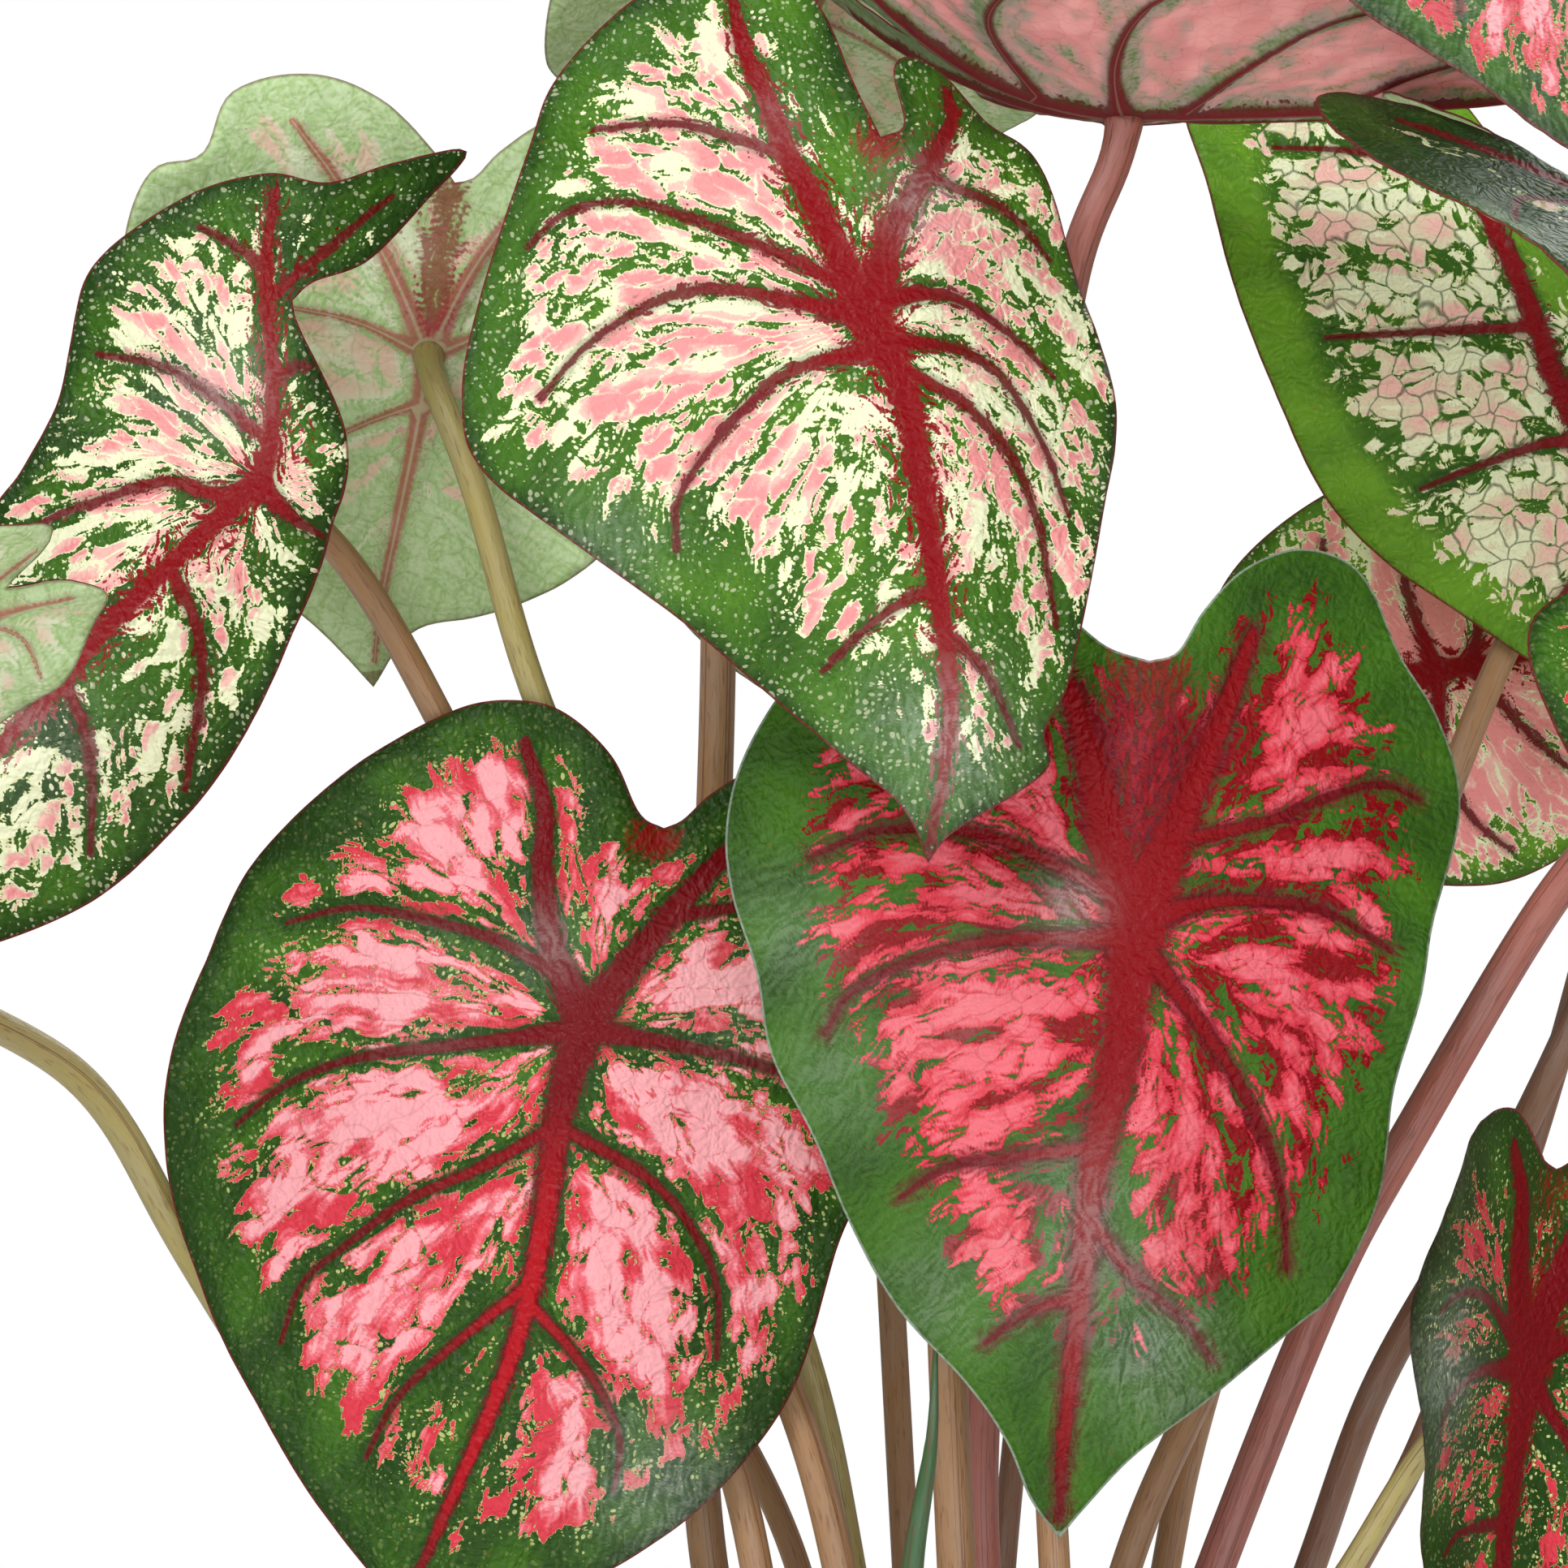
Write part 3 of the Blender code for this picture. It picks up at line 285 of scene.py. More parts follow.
def heart(width, tip, lobe, notch):
    """Give an even heart shape by its half width and its reach below and above the petiole's joint."""
    inner = lobe - notch
    side = [(0.05 * width, notch + 0.3 * inner), (0.11 * width, notch + 0.65 * inner),
            (0.22 * width, lobe * 0.95), (0.38 * width, lobe), (0.57 * width, 0.91 * lobe),
            (0.76 * width, 0.68 * lobe), (0.91 * width, 0.36 * lobe), (0.99 * width, 0),
            (0.97 * width, -0.2 * tip), (0.84 * width, -0.42 * tip), (0.63 * width, -0.6 * tip),
            (0.41 * width, -0.76 * tip), (0.2 * width, -0.89 * tip)]
    right = [(0, notch)] + side + [(0, -tip)]
    ribs = [
        [(0, 0), (0.08 * width, 0.38 * lobe), (0.24 * width, 0.82 * lobe)],
        [(0.05 * width, 0.24 * lobe), (0.4 * width, 0.42 * lobe), (0.72 * width, 0.36 * lobe)],
        [(0, 0), (0.35 * width, 0.04 * lobe), (0.66 * width, -0.02 * tip), (0.86 * width, -0.14 * tip)],
        [(0, -0.1 * tip), (0.3 * width, -0.22 * tip), (0.55 * width, -0.36 * tip),
         (0.62 * width, -0.5 * tip)],
        [(0, -0.4 * tip), (0.2 * width, -0.52 * tip), (0.34 * width, -0.68 * tip)],
    ]
    mirrored = [[(-x, y) for x, y in path] for path in ribs]
    return {
        "right": right,
        "left": [(-x, y) for x, y in reversed(right)],
        "midrib": [(0, 0), (0, -0.35 * tip), (0, -0.7 * tip), (0, -0.97 * tip)],
        "ribs": ribs + mirrored,
    }


HEART = heart(72, 112, 70, 38)
NARROW = heart(52, 60, 88, 52)


def leaf_row(colouring, shape, size, joint, roll=0, **others):
    """Give a leaf's values by their names."""
    return dict(colouring=colouring, shape=shape, size=size, joint=joint, roll=roll, **others)


# Every leaf: its colouring, its shape and size, the joint's place, and how the blade stands. "turn" swings
# the face round from the viewer (-Y) towards +X, "tilt" leans it up and "roll" spins it anticlockwise, all
# in degrees. "fold" gives the slopes of the left and right halves, and "bow" the bend of the tip and of the
# lobes in millimetres, both towards the upper face where positive. "wave" is the height of the waves, their
# count and where they start. The petiole runs from its foot in the soil through its bends to the joint.
LEAVES = {
    "centre": leaf_row(
        "pale", BROAD, 0.97, (-23, -64, 471), turn=4, tilt=10,
        fold=(-6, -42), bow=(-6, -7), wave=(2.2, 9, 20), foot=(0, -10), radius=4.3,
        bends=[(-4, -12, 212), (-6, -10, 258), (-9, -8, 340), (-12, -6, 400), (-17, -22, 442)]),
    "low_left": leaf_row(
        "pink", ROUND, 0.99, (-81, -20, 326), turn=-6, tilt=8,
        fold=(-12, -20), bow=(-5, -8), wave=(1.8, 8, 60), foot=(-14, -20), radius=3.8,
        bends=[(-29, -10, 213), (-40, -4, 249), (-60, 2, 288)]),
    "low_right": leaf_row(
        "red", LONG, 0.99, (32, -45, 348), turn=4, tilt=8,
        fold=(-10, -20), bow=(-7, -2), wave=(2.4, 8, 150), foot=(20, -28), radius=3.5,
        bends=[(16, -30, 212), (15, -27, 250), (22, -24, 300)]),
    "left": leaf_row(
        "pale", SWEPT, 1.0, (-147, -36, 438), turn=-6, tilt=6,
        fold=(-14, -30), bow=(-8, -8), wave=(2.4, 7, 10), foot=(-32, -12), radius=3.6,
        bends=[(-46, -8, 211), (-51, -5, 232), (-80, 10, 320), (-112, 12, 386), (-130, 2, 419)]),
    "left_rear": leaf_row(
        "pale", SMALL, 1.04, (-115, 22, 464), turn=178, tilt=14,
        fold=(-12, -12), bow=(-8, -6), wave=(2.0, 7, 80), foot=(-14, 6), radius=3.4,
        bends=[(-27, 8, 214), (-36, 9, 254), (-62, 10, 326), (-91, 4, 389), (-105, 4, 437)]),
    "top_rear": leaf_row(
        "pale", HEART, 0.8, (-35, 80, 545), turn=180, tilt=55,
        fold=(-14, -14), bow=(-6, -6), wave=(2.4, 7, 30), foot=(-40, 12), radius=4.2,
        bends=[(-57, 20, 214), (-57, 24, 300), (-54, 30, 400), (-54, 50, 490), (-44, 68, 526)]),
    "upper_right": leaf_row(
        "pink", HEART, 0.98, (31, 6, 515), turn=180, tilt=78, roll=-90,
        fold=(14, 14), bow=(6, 34), wave=(1.6, 7, 0), foot=(6, 12), radius=4.2,
        bends=[(2, 14, 207), (2, 15, 240), (8, 15, 340), (15, 10, 440), (22, 4, 488)]),
    "top_right": leaf_row(
        "pink", HEART, 0.97, (131, -62, 565), turn=16, tilt=32, roll=66,
        fold=(-10, -14), bow=(-12, -6), wave=(2.4, 7, 120), foot=(42, -4), radius=3.0,
        bends=[(81, 2, 210), (94, 4, 233), (122, 34, 300), (144, 50, 380), (156, 50, 450), (156, 30, 510),
               (146, -16, 542)]),
    "right": leaf_row(
        "pale", WIDE, 1.0, (143, 95, 437), turn=10, tilt=6,
        fold=(-8, -20), bow=(-8, -10), wave=(2.0, 6, 40), foot=(14, 26), radius=3.6,
        bends=[(34, 38, 204), (49, 44, 238), (84, 64, 310), (108, 86, 372), (123, 102, 404),
               (136, 108, 424)]),
    "right_fold": leaf_row(
        "pale", NARROW, 0.97, (148, -52, 481), turn=58, tilt=58, roll=7,
        fold=(-10, -16), bow=(-8, -6), wave=(1.6, 6, 90), foot=(46, 18), radius=3.5,
        bends=[(73, 22, 207), (87, 22, 246), (116, 22, 297), (138, 24, 350), (148, 16, 420),
               (150, -20, 454)]),
    "right_rear": leaf_row(
        "pink", HEART, 0.68, (107, 122, 393), turn=10, tilt=14, roll=100,
        fold=(-14, -12), bow=(-8, -6), wave=(2.0, 7, 70), foot=(30, 30), radius=3.4,
        bends=[(43, 48, 202), (50, 60, 231), (78, 113, 310), (98, 142, 364)]),
    "right_edge": leaf_row(
        "pink", HEART, 0.72, (165, -60, 404), turn=10, tilt=16, roll=60,
        fold=(-8, -14), bow=(-10, -8), wave=(2.2, 7, 10), foot=(24, 2), radius=4.4,
        bends=[(52, 6, 210), (75, 7, 268), (90, 7, 296), (124, 4, 354), (146, -4, 376), (160, -28, 394)]),
    "low_corner": leaf_row(
        "red", LONG, 0.71, (110, -70, 262), turn=-54, tilt=8, roll=6,
        fold=(-24, -12), bow=(-8, -6), wave=(1.8, 7, 50), foot=(38, -18), radius=2.8,
        bends=[(62, -14, 186), (79, -11, 211), (95, -9, 237), (114, -26, 256)]),
    "left_edge": leaf_row(
        "pale", HEART, 0.47, (-208, -96, 408), turn=-140, tilt=40, roll=40,
        fold=(-10, -10), bow=(-8, -6), wave=(1.6, 7, 0), foot=(-48, -6), radius=3.8,
        bends=[(-84, 0, 172), (-126, 6, 214), (-166, 8, 275), (-178, 4, 299), (-188, -6, 314),
               (-202, -24, 325), (-214, -56, 336), (-217, -88, 356), (-210, -106, 382)]),
    "rear_left": leaf_row(
        "pink", ROUND, 0.72, (-98, 100, 306), turn=-168, tilt=30,
        fold=(-12, -10), bow=(-12, -8), wave=(2.2, 7, 140), foot=(-26, 30), radius=3.0,
        bends=[(-36, 42, 200), (-62, 58, 250)]),
    "rear_middle": leaf_row(
        "pale", HEART, 0.76, (-30, 128, 452), turn=174, tilt=32,
        fold=(-12, -12), bow=(-14, -8), wave=(2.4, 7, 75), foot=(-10, 36), radius=3.2,
        bends=[(-14, 54, 210), (-20, 74, 320), (-26, 92, 400)]),
    "rear_right": leaf_row(
        "red", BROAD, 0.7, (18, 132, 330), turn=168, tilt=36,
        fold=(-10, -14), bow=(-12, -8), wave=(2.2, 8, 15), foot=(2, 38), radius=3.0,
        bends=[(8, 62, 200), (14, 84, 260)]),
    "rear_low": leaf_row(
        "pink", LONG, 0.56, (22, 128, 170), turn=168, tilt=52,
        fold=(-12, -10), bow=(-10, -6), wave=(2.0, 7, 100), foot=(15, 41), radius=2.6,
        bends=[(17, 74, 162), (22, 100, 168)]),
    "side_left": leaf_row(
        "pale", HEART, 0.62, (-134, 46, 186), turn=-104, tilt=52,
        fold=(-12, -12), bow=(-12, -8), wave=(2.2, 7, 55), foot=(-28, 17), radius=2.6,
        bends=[(-74, 30, 158), (-108, 38, 172)]),
}

# The pot's drain holes, how round its lip is, how uneven its turned wall is, and how its mesh is joined
DRAIN_HOLES = 4
HOLE_SIDES = 24
LIP_ROLL = 2.5 * MM
RIPPLE = 0.12 * MM
SMALL_STEP = 0.01 * MM
POT_WELD = 0.14 * MM
SHARP_ANGLE = 50

# The soil: how its surface is divided, its gap to the pot, its lumps (height in millimetres, scale), and its
# crumbs: their sizes in millimetres, their stretch along each axis, how far out they lie, how far they stand
# up and how ragged they are
SOIL_RINGS = 44
RING_CROWDING = 0.9
SOIL_SIDES = 120
SOIL_GAP = 0.6 * MM
SOIL_LUMPS = [(1.3, 70), (0.9, 190), (0.5, 480)]
CRUMB_SIZES = [0.7, 0.9, 1.1, 1.4, 2.0]
CRUMB_STRETCH = [(0.7, 1.6), (0.7, 1.1), (0.5, 0.9)]
CRUMB_REACH = 0.97
CRUMB_RISE = 0.35
CRUMB_RAGGED = 0.18

# The rolled new leaf: foot, bends and tip in millimetres, with its radius at each
NEW_LEAF_PATH = [(-12, -34, 116), (-15, -37, 160), (-14, -41, 210), (-10, -44, 240), (-9, -45, 262)]
NEW_LEAF_RADII = [3.2, 3.6, 3.2, 2.0, 0.5]
NEW_LEAF_STEP = 2 * MM
NEW_LEAF_SIDES = 32

# The new leaf's seam: how often it winds round and how deep it is, and the side on which a stem's rings start
SEAM_TURNS = 1.3
SEAM_DEPTH = 0.16
SEAM_SIDE = (0.3, 1, 0.2)

# Where each blade's green border is wide: (direction, width) in degrees and millimetres. 0 is right, 90 is up
# between the lobes and 270 is the tip.
EVEN_BORDER = [(0, 7), (60, 8), (90, 7), (120, 8), (180, 7), (230, 8), (270, 14), (310, 8)]
BORDERS = {
    "centre": [(0, 1.5), (40, 2), (70, 6), (100, 12), (130, 12), (160, 9), (185, 9), (205, 13), (235, 17),
               (258, 13), (268, 18), (280, 12), (300, 3), (340, 1.5)],
    "low_left": [(0, 4), (30, 6), (60, 9), (90, 10), (110, 9), (135, 12), (160, 13), (180, 10), (205, 12),
                 (225, 17), (250, 15), (265, 11), (285, 9), (310, 6), (335, 4)],
    "low_right": [(0, 8), (30, 12), (60, 12), (80, 8), (100, 8), (120, 13), (150, 16), (180, 14), (205, 16),
                  (235, 15), (255, 16), (265, 24), (280, 17), (310, 10), (340, 7)],
    "left": [(0, 4), (50, 4), (90, 8), (130, 11), (170, 7), (200, 5), (230, 8), (260, 6), (290, 6),
             (320, 5)],
    "right": [(0, 8), (60, 8), (110, 8), (150, 15), (180, 14), (210, 9), (240, 8), (300, 9)],
    "right_fold": [(0, 3), (60, 4), (90, 9), (120, 18), (180, 24), (240, 18), (300, 6)],
    "low_corner": [(0, 9), (60, 9), (120, 14), (180, 12), (230, 12), (270, 18), (320, 9)],
}

# Soft spots that add paint or blush: (x, y, radius, paint, blush), in millimetres on the blade
SPOTS = {
    "centre": [
        (-29, 29, 9, 0.3, 0.8), (-19, 19, 7, 0.2, 0.7), (-49, 20, 7, 0.2, 0.6), (-43, 8, 8, 0.2, 0.6),
        (-40, -14, 12, 0.5, 0.9), (-66, 7, 6, 0.1, 0.7), (21, 17, 9, 0.5, 1.0), (-23, -27, 7, 0.4, 0.8),
        (-25, -39, 6, 0.5, 0.7), (-44, -29, 6, 0.5, 0.7), (-53, -36, 5, 0.7, 0.9), (-46, -44, 5, 0.8, 0.9),
        (-12, -56, 7, 0.5, 0.7), (-5, -64, 6, 0.5, 0.7), (27, -30, 7, 0.2, 0.7), (42, -43, 8, 0.2, 0.6),
        (44, -24, 7, 0.2, 0.6), (32, -55, 5, 0.2, 0.7), (-32, 47, 6, 0.2, 0.7), (-52, 39, 6, 0.2, 0.7),
        (-6, -24, 9, -0.55, -0.6), (24, -58, 10, -0.5, -0.3), (6, -72, 12, -0.5, -0.3),
        (-2, 28, 8, -0.4, -0.5), (-12, 50, 9, -0.7, -0.5), (-54, -23, 6, -0.6, -0.3),
        (31, 22, 4, -0.8, -0.3), (32, 38, 5, -0.4, -0.3), (9, 50, 8, -0.9, -0.4), (-30, -58, 14, -0.7, -0.2),
        (-60, 30, 6, -0.4, 0),
        (-8, -44, 14, -0.3, 0), (4, -90, 20, -0.5, -0.2), (30, -70, 12, -0.2, 0), (-50, -38, 14, -0.4, 0),
        (-8, -62, 26, -0.4, 0), (28, -62, 18, -0.35, 0)],
    "left": [(-24, 12, 9, 0.1, 0.5), (-62, -8, 9, 0.2, 0.6), (-78, -70, 12, 0.1, 0.5),
             (-30, -70, 10, 0.1, 0.4), (-30, -14, 7, 0.1, 0.5), (8, 56, 10, -0.9, -0.5),
             (26, 62, 12, -0.9, -0.5), (6, 30, 8, -0.4, -0.2), (-34, -44, 10, -0.5, 0),
             (-28, -40, 13, -0.9, -0.4), (-44, -54, 12, -0.7, -0.3), (-8, -20, 7, 0.1, 0.3),
             (-46, 20, 6, 0.2, 0.5), (-60, -82, 9, -0.4, 0)],
    "low_left": [
        (-32, 35, 10, 0.6, 0.3), (-44, 7, 13, 0.6, 0.5), (-41, -19, 14, 0.6, 0.5), (-41, -48, 9, 0.6, 0.3),
        (23, 7, 10, 0.6, 0.5), (23, -18, 13, 0.6, 0.4), (8, -42, 8, 0.5, 0.3), (16, -61, 9, 0.6, 0.3),
        (5, -67, 7, 0.5, 0.2), (-4, -98, 8, 0.8, 0.1), (-55, -62, 6, 0.8, 0.1), (-44, -83, 5, 0.8, 0),
        (-17, 52, 7, 0.8, 0), (-4, 47, 7, 0.8, 0), (0, 29, 6, 0.5, 0), (17, 35, 6, 0.5, 0),
        (38, -55, 7, 0.7, 0), (35, -70, 7, 0.7, 0), (25, -88, 6, 0.8, 0), (-74, -8, 5, 0.7, 0),
        (-70, -46, 6, 0.9, 0), (-25, -58, 9, -0.7, -0.2), (-25, -76, 11, -0.9, -0.2),
        (-8, -64, 6, -0.9, -0.2), (-16, -86, 8, -0.7, -0.2), (-16, -104, 8, -0.5, -0.2),
        (6, -84, 8, -0.6, -0.2), (30, -40, 7, -0.4, -0.1)],
    "low_right": [
        (36, -10, 15, 0.5, -0.1), (33, 16, 13, 0.5, -0.1), (33, 45, 11, 0.5, -0.1), (13, -42, 15, 0.6, 0.1),
        (9, -76, 7, 1.0, -0.1), (-2, -87, 5, 0.8, -0.1), (-13, 30, 8, 0.5, 0.4), (-31, 16, 10, 0.5, 0.6),
        (-30, -15, 13, 0.6, 0.6), (-31, -38, 8, 0.7, 0.4), (-33, -56, 7, 0.9, 0.3), (-27, -68, 6, 1.0, 0.3),
        (-29, -80, 5, 0.9, 0.2), (-66, 33, 6, 0.7, -0.1), (-58, 5, 6, 0.5, 0), (-13, -46, 10, -0.9, -0.2),
        (-5, -54, 9, -1.0, -0.2), (-8, -70, 9, -1.0, -0.2), (-18, -84, 10, -0.7, -0.2),
        (46, -44, 9, -0.4, -0.2), (50, 24, 8, -0.3, -0.1)],
    "left_rear": [(20, 30, 12, 0.9, 0), (-20, 20, 10, 0.7, 0), (26, 0, 8, 0.5, 0), (0, -40, 26, -0.9, 0)],
    "top_rear": [(0, 0, 60, -0.1, 0)],
    "right": [(-60, 90, 12, 0.3, 0), (-40, 30, 16, 0.3, 0), (-14, -20, 14, 0.3, 0.2), (-50, 60, 10, 0.1, 0)],
    "right_fold": [(34, 50, 14, 1.3, -0.3), (44, 20, 12, 1.3, -0.3), (-30, 40, 30, -0.8, 0)],
    "right_rear": [(0, 0, 60, 0.7, 0.8)],
}

# How each colouring is painted. "streaks" (broad and narrow), "fine" and "islands" say how much the streaks
# and the cells break the paint up, "cells" how many cells there are, "crack" and "net" how wide and strong
# the lines between them are, and "warp" how far they bend. "level" is the paint's general level,
# "blush_level" where cream turns pink, "rim" the width of a patch's rim, "flank" the strength and width of
# the green beside the ribs, and "core" how closed the middle of a panel is. "ribs" widens the ribs, "feather"
# lets them fray, "specks" is the specks' strength, and "ramp" how far from the border the paint closes up.
COLOURINGS = {
    "pale": dict(
        streaks=(0.65, 1.0), fine=0.6, islands=1.3, crack=0.17, cells=3.2, warp=0.12, level=-0.2,
        blush_level=0.12, rim=0.24, flank=(0.35, 2.4), core=0.0, ribs=1.0, feather=3.6, net=0.5, specks=1.0,
        ramp=12),
    "mosaic": dict(
        streaks=(0.7, 0.9), fine=0.5, islands=1.3, crack=0.1, cells=2.1, warp=0.24, level=-0.25,
        blush_level=0.1, rim=0.2, flank=(0.6, 3.0), core=0.0, ribs=1.0, feather=1.2, net=1.5, specks=0.5,
        ramp=9),
    "pink": dict(
        streaks=(0.55, 0.95), fine=0.55, islands=1.35, crack=0.07, cells=2.4, warp=0.12, level=-0.3,
        blush_level=-0.05, rim=0.1, flank=(1.3, 3.2), core=0.5, ribs=1.15, feather=1.0, net=0.7, specks=0.7,
        ramp=9),
    "red": dict(
        streaks=(0.5, 0.8), fine=0.7, islands=1.1, crack=0.07, cells=2.5, warp=0.12, level=-0.2,
        blush_level=-0.1, rim=0.02, flank=(0.8, 4.2), core=0.1, ribs=1.3, feather=1.8, net=1.1, specks=0.3,
        ramp=10),
    "dark": dict(
        streaks=(0.6, 0.7), fine=0.6, islands=1.1, crack=0.07, cells=2.6, warp=0.12, level=-0.9,
        blush_level=0.1, rim=0.2, flank=(0.8, 2.6), core=0.2, ribs=1.3, feather=1.4, net=0.5, specks=1.0,
        ramp=12),
}

# The colours of each colouring's patches, from their edge at 0 to their middle
PANEL_STOPS = {
    "pale": [(0.0, "cream"), (0.07, "blush"), (0.4, "rose")],
    "mosaic": [(0.0, "cream"), (0.05, "beige"), (0.45, "blush")],
    "pink": [(0.0, "red"), (0.03, "coral"), (0.22, "deep_pink"), (0.45, "pale_pink")],
    "red": [(0.0, "rib"), (0.03, "deep_red"), (0.12, "red"), (0.6, "deep_pink")],
    "dark": [(0.0, "deep_red"), (0.08, "coral"), (0.4, "red"), (1.0, "deep_pink")],
}

# Each blade's colouring, the look of its underside and stalk, and how fine its mesh is, in millimetres
LOOKS = {
    "centre": ("pale", "grey", "tan", 1.35),
    "low_left": ("pink", "grey", "tan", 1.35),
    "low_right": ("red", "grey", "tan", 1.35),
    "left": ("pale", "grey", "tan", 1.5),
    "left_rear": ("pale", "grey", "olive", 2.0),
    "top_rear": ("pale", "grey", "tan", 2.4),
    "upper_right": ("pink", "rose", "rosy", 2.0),
    "top_right": ("pink", "grey", "brown", 2.2),
    "right": ("mosaic", "grey", "tan", 2.0),
    "right_fold": ("mosaic", "grey", "brown", 2.2),
    "right_rear": ("pale", "grey", "tan", 2.2),
    "right_edge": ("pink", "grey", "rosy", 2.2),
    "low_corner": ("dark", "grey", "olive", 2.0),
    "left_edge": ("pale", "grey", "olive", 2.4),
    "rear_left": ("pink", "grey", "tan", 2.4),
    "rear_middle": ("pale", "grey", "tan", 2.4),
    "rear_right": ("red", "grey", "brown", 2.4),
    "rear_low": ("pink", "grey", "olive", 2.4),
    "side_left": ("pale", "grey", "olive", 2.4),
}

# Painted highlights: where a blade's glossy upper face is painted pale with sheen, as (x, y, radius,
# strength), in millimetres on the blade
PAINTED_SHINES = {
    "centre": [(14, -86, 15, 0.3), (-20, 40, 8, 0.15), (12, 24, 9, 0.35), (-52, -44, 12, 0.15)],
    "low_left": [(-8, 16, 8, 0.2), (14, -94, 14, 0.3), (-34, 6, 12, 0.15), (30, 4, 12, 0.15)],
    "low_right": [(-12, -62, 18, 0.2), (-60, -30, 14, 0.12), (-40, -76, 14, 0.12), (-34, -16, 14, 0.1),
                  (-14, 4, 7, 0.4), (4, -88, 14, 0.25), (-70, 0, 12, 0.15)],
    "left": [(-10, 20, 12, 0.3), (-50, -52, 18, 0.2)],
    "top_right": [(0, 0, 60, 0.35)],
    "right_fold": [(0, 0, 60, 0.08)],
    "low_corner": [(-40, 0, 16, 0.4)],
}

# Where a blade is stained crimson round its hub and up to its notch: (x, y, radius, strength)
STAINS = {
    "centre": [(0, 6, 10, 0.7), (3, 22, 6, 0.6), (3, 36, 6, 0.9), (5, -12, 8, 0.4)],
    "low_left": [(0, 4, 7, 0.5), (13, 38, 6, 0.9)],
    "low_right": [(4, 16, 11, 0.9), (3, 32, 12, 0.8), (3, 50, 10, 0.9), (16, 34, 10, 0.5), (-8, 36, 9, 0.5),
                  (-3, -14, 8, 0.4)],
    "left": [(0, 2, 8, 0.5), (-14, -14, 9, 0.4)],
    "left_rear": [(-1, 8, 5, 0.9), (-2, 16, 5, 0.9), (-3, 25, 6, 0.9), (-5, 35, 5, 0.9)],
    "low_corner": [(2, 10, 12, 0.8), (3, 34, 10, 0.5)],
}

# How much wider than the others a blade's ribs are at the stalk
SWELLS = {"left": 0.55, "centre": 1.25, "low_right": 1.35, "right_rear": 0.6, "upper_right": 1.5,
          "low_corner": 1.4}

# How light each blade's green is, from dark at 0 to bright at 1. It is partly the blade's own green and
# partly painted light: a painted glow on blades lit from behind and painted shade on blades in shadow.
GROUNDS = {"centre": 0.55, "right": 1.0, "right_fold": 0.2, "low_left": 0.25, "low_corner": 0.1, "left": 0.35,
           "low_right": 0.42, "right_edge": 0.5, "right_rear": 0.9, "left_rear": 0.6, "top_rear": 0.7}

# The contrast of the noise and of the streaks, how far in from its edge a cell's level rises, and how soft a
# speck's edge is
NOISE_CONTRAST = 3.2
STREAK_CONTRAST = 0.7
CELL_SLOPE = 0.3
SPECK_BLUR = 0.08

# Where the masks of a blade start and end: levels, or millimetres from the margin or from a rib's edge
PATCH_EDGE = (0.0, 0.12)
PALE_RIM = (0.26, 0.05)
PINK_RIM = (0.2, 0.05)
DARK_TO_GREEN = (0.0, 0.6)
GREEN_TO_BRIGHT = (0.5, 1.3)
PAINTED_SHADE_INSIDE = (9.0, 17.0)
DARK_BORDER = (5.0, 0.0)
SPECKED = (-1.3, -0.1)
FINE_LINE = (0.12, 0.0)
STAINED = (0.3, 0.8)
STRAND_SHADE = (0.6, 1.8)
STRAND_EDGE = (0.45, -0.15)
RIB_CORE = (0.0, -0.6)
THICK_ENOUGH = (0.5, 1.4)
BRIGHT_MIDRIB = (-1.0, -5.0)
MARGIN_LINE = (0.6, 0.2)
PAINTED_SHEEN_CLOUD = (-0.6, 0.9)

# How the masks of an underside differ: its patches, halo, rib cores, ridges and margin
UNDER_PATCH = (0.1, 0.8)
ROSY_PATCH = (-1.2, 0.2)
UNDER_CLOUD = (-1.8, 1.5)
UNDER_WARMTH = (-0.2, 0.5)
HALO = (0.9, -0.2)
UNDER_CORE = (0.0, -0.55)
RIDGE = (-0.75, -1.0)
UNDER_MARGIN = (0.7, 0.2)

# How much more light than the upper face an underside lets through
GREY_GLOW = 1.2
ROSY_GLOW = 4.2

# The camera: it looks along +Y from a little above, and shows a square of the plane y = 0
CAMERA_AIM = Vector((-0.040, 0, 0.374))
CAMERA_DISTANCE = 1.6
CAMERA_ELEVATION = 3
SENSOR_WIDTH = 36
VIEW_WIDTH = 1932 * 0.00017

# The soft lights: where they are and how large they are, in metres
LIGHTS = [("key", (-0.8, -1.3, 1.5), 0.9), ("fill", (1.3, -0.9, 0.7), 1.0), ("back", (0.7, 1.2, 1.3), 0.9),
          ("low", (0.1, -1.5, 0.08), 1.0)]


def linear(red, green, blue):
    """Turn display values from 0 to 255 into linear ones."""
    shares = [value / 255 for value in (red, green, blue)]
    return tuple(value / 12.92 if value <= 0.04045 else ((value + 0.055) / 1.055) ** 2.4 for value in shares)


def length(name, description, millimetres):
    """Give a property that holds a length."""
    return FloatProperty(name=name, description=description, default=millimetres * MM, min=0, unit="LENGTH",
                         precision=5)


def colour(name, description, red, green, blue):
    """Give a property that holds a colour."""
    return FloatVectorProperty(name=name, description=description, default=linear(red, green, blue),
                               subtype="COLOR", size=3, min=0, max=1)


def power(name, description, watts):
    """Give a property that holds a light's power."""
    return FloatProperty(name=name, description=description, default=watts, min=0, unit="POWER")


def share(name, description, value):
    """Give a property that holds a share from 0 to 1."""
    return FloatProperty(name=name, description=description, default=value, min=0, max=1, subtype="FACTOR")


